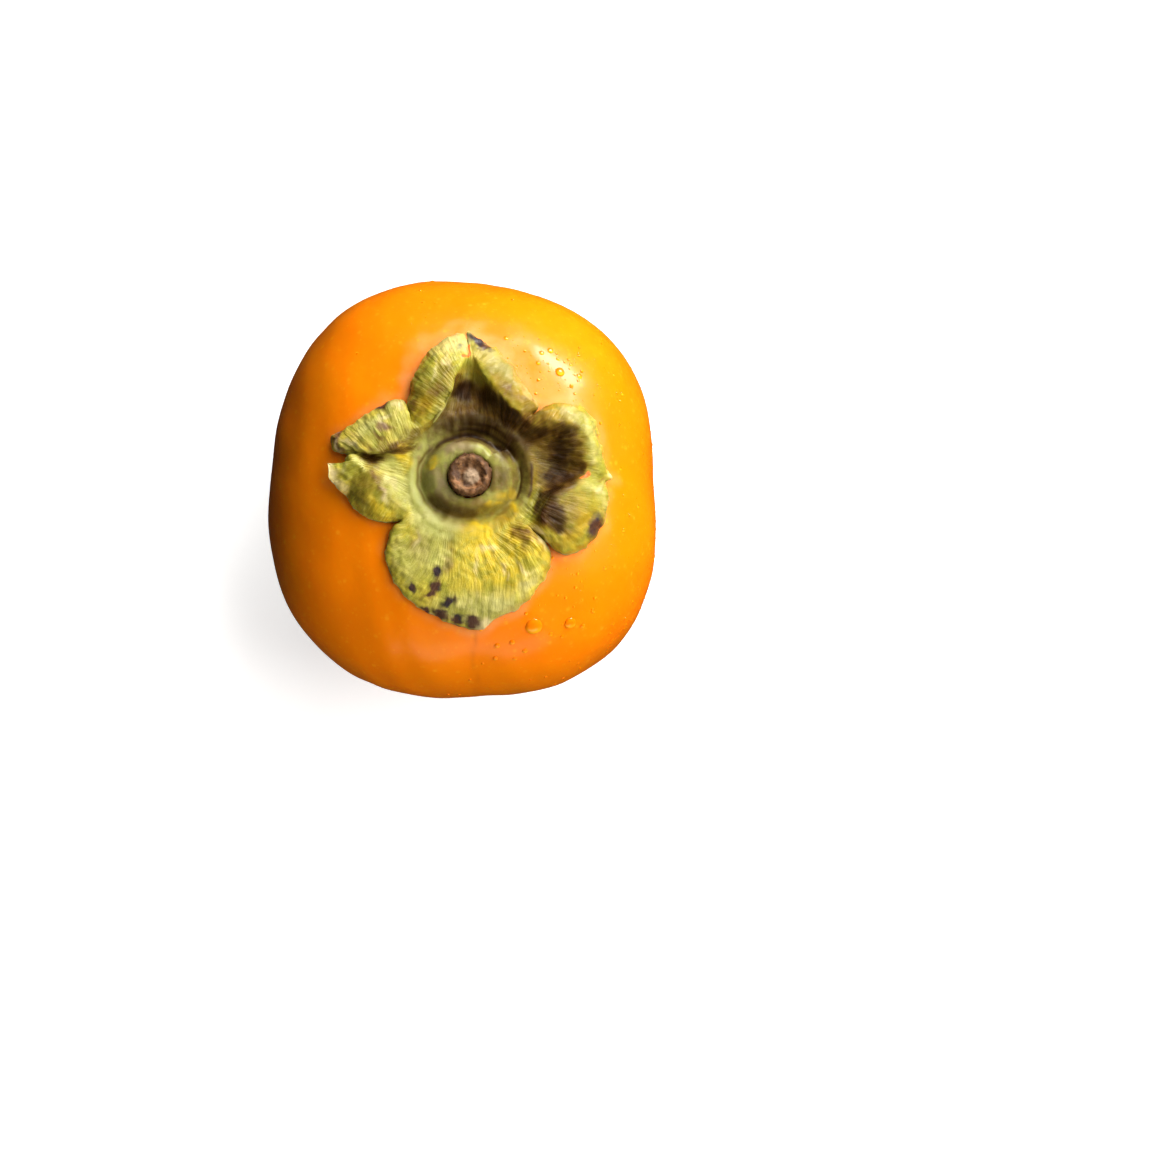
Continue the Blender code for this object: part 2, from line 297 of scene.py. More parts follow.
def crownPoints(share, heading):
    # the upper skin: share is 0 under the stem and 1 at the widest level
    power = fruitShape["crownPower"]
    radius = share * outlineRadius(heading)
    rise = fruitShape["crownRise"] * (1 - np.minimum(share, 1) ** power) ** (1 / power)
    basin = fruitShape["basinDepth"] * bump(share * fruitShape["meanRadius"], 0.0, fruitShape["basinWidth"])
    flat = crownCentre(share) + radius[:, None] * compass(heading)
    return np.column_stack([flat, fruitShape["equatorHeight"] + rise - basin])


def basinMiddle():
    return crownPoints(np.zeros(1), np.zeros(1))


def skinHeight(flat):
    # height of the upper skin over points of the plan
    share = np.full(len(flat), 0.5)
    for _ in range(12):
        offset = flat - crownCentre(share)
        heading = np.arctan2(offset[:, 1], offset[:, 0])
        share = np.minimum(np.hypot(offset[:, 0], offset[:, 1]) / outlineRadius(heading), 1.0)
    return crownPoints(share, heading)[:, 2]


def bellyPoints(share, heading):
    power = fruitShape["bellyPower"]
    foot = fruitShape["footRadius"]
    radius = foot + (outlineRadius(heading) - foot) * share
    fall = (1 - share**power) ** (1 / power)
    flat = outlineShift * share[:, None] + radius[:, None] * compass(heading)
    return np.column_stack([flat, fruitShape["equatorHeight"] * (1 - fall)])


def pitPoints(share, heading):
    radius = fruitShape["pitRadius"] * share
    height = fruitShape["pitDepth"] * (1 - share**2) ** 2
    count, depth = fruitShape["pitPuckers"]
    pucker = depth * np.cos(count * heading + 2 * np.cos(heading)) * share * (1 - share) * 4
    return np.column_stack([radius[:, None] * compass(heading), np.maximum(height + pucker * height, 0)])


def profileShares(rows, power):
    turns = math.pi / 2 * np.arange(1, rows) / rows
    return np.sin(turns) ** (2 / power)


def makeSkin(material, calyxOutline):
    shape = fruitShape
    columns = shape["columns"]
    headings = headingSteps(columns)
    rings = [pitPoints(np.full(columns, share), headings) for share in stepShares(shape["pitRows"])]
    for share in stepShares(shape["footRows"])[:-1]:
        radius = shape["pitRadius"] + (shape["footRadius"] - shape["pitRadius"]) * share
        rings.append(np.column_stack([radius * compass(headings), 0 * headings]))
    lower = np.concatenate([[0.0], profileShares(shape["bellyRows"], shape["bellyPower"])])
    rings += [bellyPoints(np.full(columns, share), headings) for share in lower]
    upper = np.concatenate([[1.0], profileShares(shape["crownRows"], shape["crownPower"])[::-1]])
    rings += [crownPoints(np.full(columns, share), headings) for share in upper]
    points = np.concatenate(rings)
    normals = gridNormals(points, len(rings), columns)
    lumps = layered(points, shape["uneven"]) - shape["inward"]
    standing = smoothStep(0.0, shape["evenBelow"], points[:, 2])
    points = points + normals * (lumps * shape["lumps"] * standing)[:, None]
    points = np.concatenate([points, [[0.0, 0.0, shape["pitDepth"]]], basinMiddle()])
    heading = np.degrees(np.arctan2(points[:, 1], points[:, 0]))
    attributes = {
        "bloom": bloomShare(points, heading, calyxGap(points, calyxOutline)),
        "dew": dewShare(points, heading),
        "crease": creaseShare(points),
    }
    return makeObject("fruitSkin", points, closedFaces(len(rings), columns), material, attributes)


def bloomShare(points, heading, gap):
    # widest between the back and right lobes and fainter on the left
    width = bloomShape["width"] + bumps(heading, bloomShape["wider"])
    share = 1 - smoothStep(0.0, 1.0, gap / width + layered(points, bloomShape["ragged"]))
    return share * np.minimum(bloomShape["least"] + bumps(heading, bloomShape["stronger"]), 1.0)


def creaseShare(points):
    line = creaseLine
    size, turn = line["bends"]
    away = points[:, 0] - (line["x"] + size * np.sin(points[:, 1] * turn))
    ends = smoothStep(*line["front"], points[:, 1]) * smoothStep(*line["above"], points[:, 2])
    return line["strength"] * bump(away, 0.0, line["width"]) * ends


def calyxGap(points, outline):
    # distance in millimetres from the calyx's edge; the underside of the fruit counts as far away
    farAway = 40.0
    gap = np.full(len(points), farAway)
    near = np.where(points[:, 2] > fruitShape["equatorHeight"])[0]
    for block in np.array_split(near, 40):
        apart = points[block, None, :2] - outline[None, :, :2]
        gap[block] = np.sqrt((apart**2).sum(axis=2)).min(axis=1)
    return gap


calyxShape = {
    # heading, then the crest and the margin of each notch: X, Y from the stem, lift above the skin
    "notches": (
        (44.0, (10.6, 10.6, 2.9), (11.6, 11.6, 0.6)),
        (138.0, (-9.2, 9.0, 2.9), (-11.1, 10.4, 0.6)),
        (213.0, (-10.8, -7.2, 2.5), (-12.4, -8.1, 0.5)),
        (318.0, (10.2, -8.9, 2.9), (11.1, -9.8, 0.6)),
    ),
    # rings of the disc from the socket to the rim: X radius, Y radius, height above the basin's middle
    "disc": (
        (4.0, 4.0, 3.4), (4.0, 4.0, 4.6), (4.35, 4.35, 5.05), (5.2, 5.1, 5.15), (6.4, 5.8, 4.95),
        (7.5, 6.4, 4.2), (8.3, 6.9, 3.1), (8.9, 7.4, 2.4), (9.4, 8.0, 2.4), (10.0, 8.9, 2.95),
        (10.8, 10.2, 3.4), (11.5, 11.5, 3.4),
    ),
    "discRows": 46,
    "wallRows": 27,
    "rollRows": 28,
    "curlRows": 3,
    "underRows": 8,
    "columns": 840,
    "thickness": 0.8,
    "turnedIn": 0.35,  # how far the margin turns in underneath
    "edge": 0.6,  # a tip that curls up stays this thin
    "underside": 0.15,  # least gap to the skin below
    "leastGap": 0.08,  # the same after the relief
    "hemDepth": 0.8,  # how much of the gap a turned-in margin takes up
    "squeeze": (45.0, 26.0, 0.15),  # the dome is narrower here: heading, spread, share
    "shallow": (-8.0, 30.0, 0.75),  # the groove is shallow here
    "grooveFill": 3.7,  # and filled towards this height
    "veins": (0.62, 0.03),  # pitch, height
    "pleats": (2.3, 0.09),
    # unevenness: strength, size, seed
    "ragged": ((0.12, 1.6, 21), (0.05, 0.7, 22)),
    "crumpled": ((0.15, 1.7, 33), (0.07, 0.75, 34)),
    "discLumps": ((0.05, 1.0, 35),),
    "veinSway": ((0.2, 2.0, 31),),
    "pleatSway": ((0.12, 3.0, 32),),
    "markSway": (0.45, 1.2, 61),
    "spotSway": (0.16, 0.6, 65),
    "creaseSway": (0.12, 1.8, 63),
    "creaseDepth": 0.14,
}
# Each lobe: its share of the columns, how far from the rim it turns leafy, where its pleats begin and end
# and how deep they are, its hollow and fullness, and its ribs from one notch to the next: crest, then margin
lobeShapes = {
    "back": {
        "share": 0.26,
        "rim": 1.2,
        "pleats": (0.02, 0.3, 0.5),
        "pocket": 1.5,
        "fullness": 2.3,
        "ribs": (
            ((9.4, 11.3, 4.6), (12.2, 13.3, 0.5)),
            ((6.9, 13.3, 5.0), (10.7, 15.8, 0.5)),
            ((4.8, 15.9, 4.9), (8.9, 18.7, 0.5)),
            ((2.7, 18.2, 4.4), (7.0, 21.3, 0.5)),
            ((1.7, 20.2, 3.6), (5.6, 22.6, 0.6)),
            ((1.2, 21.2, 3.0), (4.4, 23.8, 0.9)),
            ((0.8, 21.8, 2.7), (2.2, 25.3, 1.1)),
            ((0.45, 22.1, 2.5), (-0.5, 27.1, 1.1)),
            ((-0.1, 22.0, 2.4), (-0.7, 25.6, 1.0)),
            ((-0.6, 22.2, 2.6), (-1.4, 26.9, 0.8)),
            ((-1.4, 21.0, 3.6), (-3.4, 26.6, 0.5)),
            ((-2.3, 18.8, 4.4), (-5.8, 24.9, 0.4)),
            ((-2.9, 16.2, 4.8), (-8.4, 22.4, 0.4)),
            ((-4.0, 13.5, 4.8), (-10.5, 18.4, 0.4)),
            ((-5.7, 11.0, 4.3), (-11.4, 14.4, 0.4)),
        ),
    },
    "left": {
        "share": 0.27,
        "rim": 1.2,
        "pleats": (0.05, 0.4, 0.4),
        "pocket": 0.4,
        "fullness": 2.2,
        "ribs": (
            ((-10.8, 8.6, 3.3), (-11.9, 13.8, 1.0)),
            ((-11.7, 6.9, 3.7), (-14.2, 14.4, 1.2)),
            ((-13.2, 5.2, 3.6), (-16.6, 12.9, 0.8)),
            ((-15.6, 4.3, 3.3), (-20.5, 10.7, 0.5)),
            ((-18.4, 4.1, 3.0), (-23.2, 9.1, 0.5)),
            ((-20.8, 4.7, 2.6), (-25.6, 7.9, 0.9)),
            ((-21.4, 4.8, 2.2), (-24.9, 5.2, 1.1)),
            ((-21.2, 4.4, 1.6), (-22.6, 4.3, 0.9)),
            ((-22.0, 4.0, 2.8), (-22.8, 3.4, 1.8)),
            ((-21.6, 3.6, 3.1), (-23.0, 2.2, 2.0)),
            ((-21.1, 3.1, 3.3), (-23.9, 1.4, 2.6)),
            ((-20.7, 2.8, 3.4), (-24.8, 1.7, 3.6)),
            ((-20.4, 2.5, 3.5), (-25.8, 2.5, 4.4)),
            ((-20.0, 2.1, 3.6), (-25.7, 0.7, 4.2)),
            ((-19.3, 1.5, 3.7), (-24.9, -1.2, 3.4)),
            ((-18.4, 0.7, 3.7), (-23.3, -2.9, 1.8)),
            ((-17.5, -0.4, 3.7), (-22.1, -4.0, 0.7)),
            ((-16.8, -1.6, 3.7), (-21.2, -5.5, 0.5)),
            ((-15.2, -3.6, 3.6), (-18.7, -7.4, 0.4)),
            ((-13.0, -5.5, 3.2), (-15.3, -8.3, 0.4)),
        ),
    },
    "front": {
        "share": 0.24,
        "rim": 3.2,
        "pleats": (0.5, 0.99, 0.75),
        "pocket": 0.2,
        "fullness": 2.9,
        "ribs": (
            ((-11.8, -9.3, 2.1), (-14.2, -9.8, 0.4)),
            ((-12.0, -12.3, 1.7), (-15.4, -13.6, 0.4)),
            ((-10.4, -15.6, 1.6), (-14.2, -18.2, 0.4)),
            ((-7.2, -17.8, 1.7), (-10.9, -22.4, 0.4)),
            ((-4.4, -18.4, 1.8), (-6.7, -25.1, 0.4)),
            ((-1.2, -18.9, 2.1), (-2.3, -26.9, 0.4)),
            ((1.4, -19.4, 2.3), (1.0, -27.4, 0.7)),
            ((3.2, -19.0, 2.4), (2.6, -27.3, 0.9)),
            ((5.4, -18.0, 2.7), (4.6, -25.7, 0.4)),
            ((8.3, -16.2, 3.2), (9.4, -23.3, 0.4)),
            ((10.4, -13.8, 3.8), (12.9, -19.3, 0.4)),
            ((11.2, -11.8, 3.9), (14.8, -15.2, 0.4)),
            ((11.0, -10.0, 3.5), (13.6, -11.8, 0.6)),
        ),
    },
    "right": {
        "share": 0.23,
        "rim": 1.2,
        "pleats": (0.02, 0.55, 0.4),
        "pocket": 2.0,
        "fullness": 2.3,
        "ribs": (
            ((12.3, -9.3, 3.9), (14.0, -11.8, 0.5)),
            ((12.5, -8.7, 4.4), (15.6, -13.4, 0.4)),
            ((12.8, -8.0, 4.8), (17.8, -14.1, 0.4)),
            ((13.0, -7.3, 5.0), (20.4, -12.9, 0.4)),
            ((13.3, -6.5, 5.1), (22.4, -11.0, 0.4)),
            ((13.7, -5.6, 5.1), (23.8, -9.0, 0.5)),
            ((14.2, -4.6, 5.0), (24.6, -7.0, 0.5)),
            ((14.9, -3.6, 4.9), (25.0, -5.1, 0.6)),
            ((16.0, -3.1, 4.7), (25.1, -3.5, 0.6)),
            ((17.8, -2.2, 4.4), (25.0, -2.2, 0.7)),
            ((19.8, -1.0, 3.8), (24.9, -1.2, 0.8)),
            ((21.2, 0.3, 3.0), (24.8, -0.4, 0.9)),
            ((22.0, 1.3, 3.3), (25.9, 0.6, 1.6)),
            ((22.5, 3.2, 4.5), (24.4, 3.4, 0.6)),
            ((21.9, 6.2, 5.0), (23.4, 7.3, 0.5)),
            ((20.2, 8.7, 5.0), (22.4, 11.3, 0.5)),
            ((17.0, 9.9, 4.8), (19.8, 13.4, 0.4)),
            ((13.6, 10.2, 4.3), (15.3, 13.6, 0.4)),
        ),
    },
}


def domeSqueeze(heading):
    return bumps(heading, (calyxShape["squeeze"],))


def lobeColumns(index, shape, count):
    # even steps along one lobe's margin, from its first notch up to the next
    notches = calyxShape["notches"]
    first = notches[index]
    last = notches[(index + 1) % len(notches)]
    ribs = [(first[1], first[2]), *shape["ribs"], (last[1], last[2])]
    fine = np.linspace(0, 1, 2001)
    path = smoothCurve([rib[1] for rib in ribs], fine)
    steps = np.concatenate([[0], np.cumsum(np.linalg.norm(np.diff(path, axis=0), axis=1))])
    places = np.interp(np.linspace(0, steps[-1], count, endpoint=False), steps, fine)
    low, high, depth = shape["pleats"]
    fade = 0.06
    columns = {
        "place": places,
        "heading": np.radians(first[0] + (last[0] - first[0]) % 360 * places),
        "crest": smoothCurve([rib[0] for rib in ribs], places),
        "margin": smoothCurve([rib[1] for rib in ribs], places),
        "pleated": smoothStep(low, low + fade, places) * (1 - smoothStep(high - fade, high, places)) * depth,
    }
    for key in ("pocket", "fullness", "rim"):
        columns[key] = np.full(count, shape[key])
    return columns


def joinColumns():
    parts = []
    for index, shape in enumerate(lobeShapes.values()):
        parts.append(lobeColumns(index, shape, int(calyxShape["columns"] * shape["share"])))
    return {key: np.concatenate([part[key] for part in parts]) for key in parts[0]}


def skinUnder(flat):
    return skinHeight(flat + stemAxis)


def calyxRows(columns, margin, outward):
    # rows of flat points from the stem's axis, with their heights: out over the disc, the wall and the crest
    # to the margin, then back underneath. Also how many rows the disc has, and how many lie on top
    shape = calyxShape
    heading = np.degrees(columns["heading"])
    direction = compass(columns["heading"])
    crest = columns["crest"]
    squeeze = domeSqueeze(heading)
    shallow = bumps(heading, (shape["shallow"],))
    basin = basinMiddle()[0, 2]
    rows = []
    along = np.linspace(0, 1, shape["discRows"])
    for share, (radiusX, radiusY, height) in zip(along, smoothCurve(shape["disc"], along)):
        flat = direction * (radiusX, radiusY) * (1 - squeeze * math.sin(math.pi * share) ** 1.5)[:, None]
        filled = shallow * max(shape["grooveFill"] - height, 0.0) * float(share > 0.4)
        rows.append((flat, basin + height + filled))
    discCount = len(rows)
    foot = rows[-1][0]
    footLift = rows[-1][1] - skinUnder(foot)
    bell = np.sin(math.pi * columns["place"])
    for step in stepShares(shape["wallRows"]):
        rise = smoothStep(0, 1, step)
        flat = foot + (crest[:, :2] - foot) * step
        hollow = columns["pocket"] * bell * math.sin(math.pi * step)
        lift = footLift + (crest[:, 2] - footLift) * rise - hollow
        rows.append((flat, skinUnder(flat) + lift))
    power = 2 / columns["fullness"]
    for turn in math.pi / 2 * stepShares(shape["rollRows"]):
        flat = crest[:, :2] + (margin[:, :2] - crest[:, :2]) * (math.sin(turn) ** power)[:, None]
        lift = margin[:, 2] + (crest[:, 2] - margin[:, 2]) * abs(math.cos(turn)) ** power
        rows.append((flat, skinUnder(flat) + lift))
    topCount = len(rows)
    tuck = shape["underside"]
    drop = np.clip(shape["hemDepth"] * (margin[:, 2] - tuck), 0.0, shape["edge"])
    for step in stepShares(shape["curlRows"]):
        flat = margin[:, :2] - outward * shape["turnedIn"] * step**2
        rows.append((flat, skinUnder(flat) + margin[:, 2] - drop * step))
    for line in np.linspace(topCount - 6, discCount, shape["underRows"] - 2):
        flat, height = rows[int(line)]
        rows.append((flat, np.maximum(height - shape["thickness"], skinUnder(flat) + tuck)))
    for share in (0.7, 0.4):
        # the last two rows close in under the disc
        flat = foot * share
        rows.append((flat, skinUnder(flat) + tuck))
    return rows, discCount, topCount


def makeCalyx(material):
    shape = calyxShape
    columns = joinColumns()
    count = len(columns["place"])
    margin = columns["margin"]
    outward = margin[:, :2] / np.linalg.norm(margin[:, :2], axis=1)[:, None]
    margin[:, :2] += outward * layered(margin[:, :2], shape["ragged"])[:, None]
    rows, discCount, topCount = calyxRows(columns, margin, outward)
    total = len(rows)
    points = np.concatenate([np.column_stack([flat + stemAxis, height]) for flat, height in rows])
    normals = gridNormals(points, total, count, closeRows=True)
    rowIndex = np.repeat(np.arange(total), count)
    onTop = (rowIndex < topCount).astype(float)
    # lengths along the crest number the veins; lengths along the rows tell rim from margin
    crest = columns["crest"][:, :2]
    crestStep = np.linalg.norm(np.diff(crest, axis=0, append=crest[:1]), axis=1)
    acrossLength = np.tile(np.concatenate([[0], np.cumsum(crestStep)[:-1]]), total)
    grid = points.reshape(total, count, 3)
    lengths = np.zeros((total, count))
    lengths[1:] = np.cumsum(np.linalg.norm(np.diff(grid, axis=0), axis=2), axis=0)
    fromRim = (lengths - lengths[discCount - 1]).ravel()
    fromMargin = (lengths[topCount - 1] - lengths).ravel()
    leafy = smoothStep(-1.0, 1.0, fromRim / np.tile(columns["rim"], total)) * onTop
    # relief: fine veins, a few strong pleats, crumpling, creases
    veinPitch, veinHeight = shape["veins"]
    pleatPitch, pleatHeight = shape["pleats"]
    veins = np.cos(math.tau * (acrossLength / veinPitch + layered(points, shape["veinSway"])))
    pleats = np.cos(math.tau * (acrossLength / pleatPitch + layered(points, shape["pleatSway"])))
    pleated = np.tile(columns["pleated"], total) * smoothStep(0.0, 2.0, fromMargin)
    crease = creaseAndShadeMask(points)
    relief = veinHeight * veins + pleatHeight * pleats * pleated + layered(points, shape["crumpled"])
    relief = relief * leafy + layered(points, shape["discLumps"]) * (1 - leafy) * onTop
    relief -= shape["creaseDepth"] * crease * onTop
    points = points + normals * relief[:, None]
    points[:, 2] = np.maximum(points[:, 2], skinHeight(points[:, :2]) + shape["leastGap"])
    inside = (1 - smoothStep(0.78, 1.0, (rowIndex - discCount + 1) / shape["wallRows"])) * onTop
    masks = {name: patchMask(points, name) for name in calyxMarks}
    # stains with painted shadow keep to the hollows, apart from the marks that run over a crest
    masks["stainAndShadow"] = np.maximum(masks["stainAndShadow"] * inside, masks.pop("stainAndShadowOverCrest"))
    # painted shade keeps to the hollows, apart from the marks that run across a crest
    masks["shade"] = np.maximum(masks["shade"] * inside, masks.pop("shadeAcrossCrest"))
    masks |= {"leafy": leafy, "crease": crease, "fromMargin": np.where(onTop > 0, fromMargin, 0.0)}
    faces = gridFaces(total, count, closeRows=True)
    made = makeObject("calyx", points, faces.tolist(), material, masks)
    addUvMap(made, faces, acrossLength, fromRim, count)
    return made, grid[topCount - 1]


def addUvMap(made, faces, across, along, count):
    # U in millimetres along the crest, V out from the disc's rim; the seam's far side keeps counting
    layer = made.data.uv_layers.new(name="fibre")
    corners = faces.ravel()
    u = across[corners].copy()
    lastColumn = np.repeat(faces[:, 0] % count == count - 1, 4)
    wrapped = lastColumn & (corners % count == 0)
    u[wrapped] += across.max() + across.max() / count
    layer.data.foreach_set("uv", np.column_stack([u, along[corners]]).astype(np.float32).ravel())


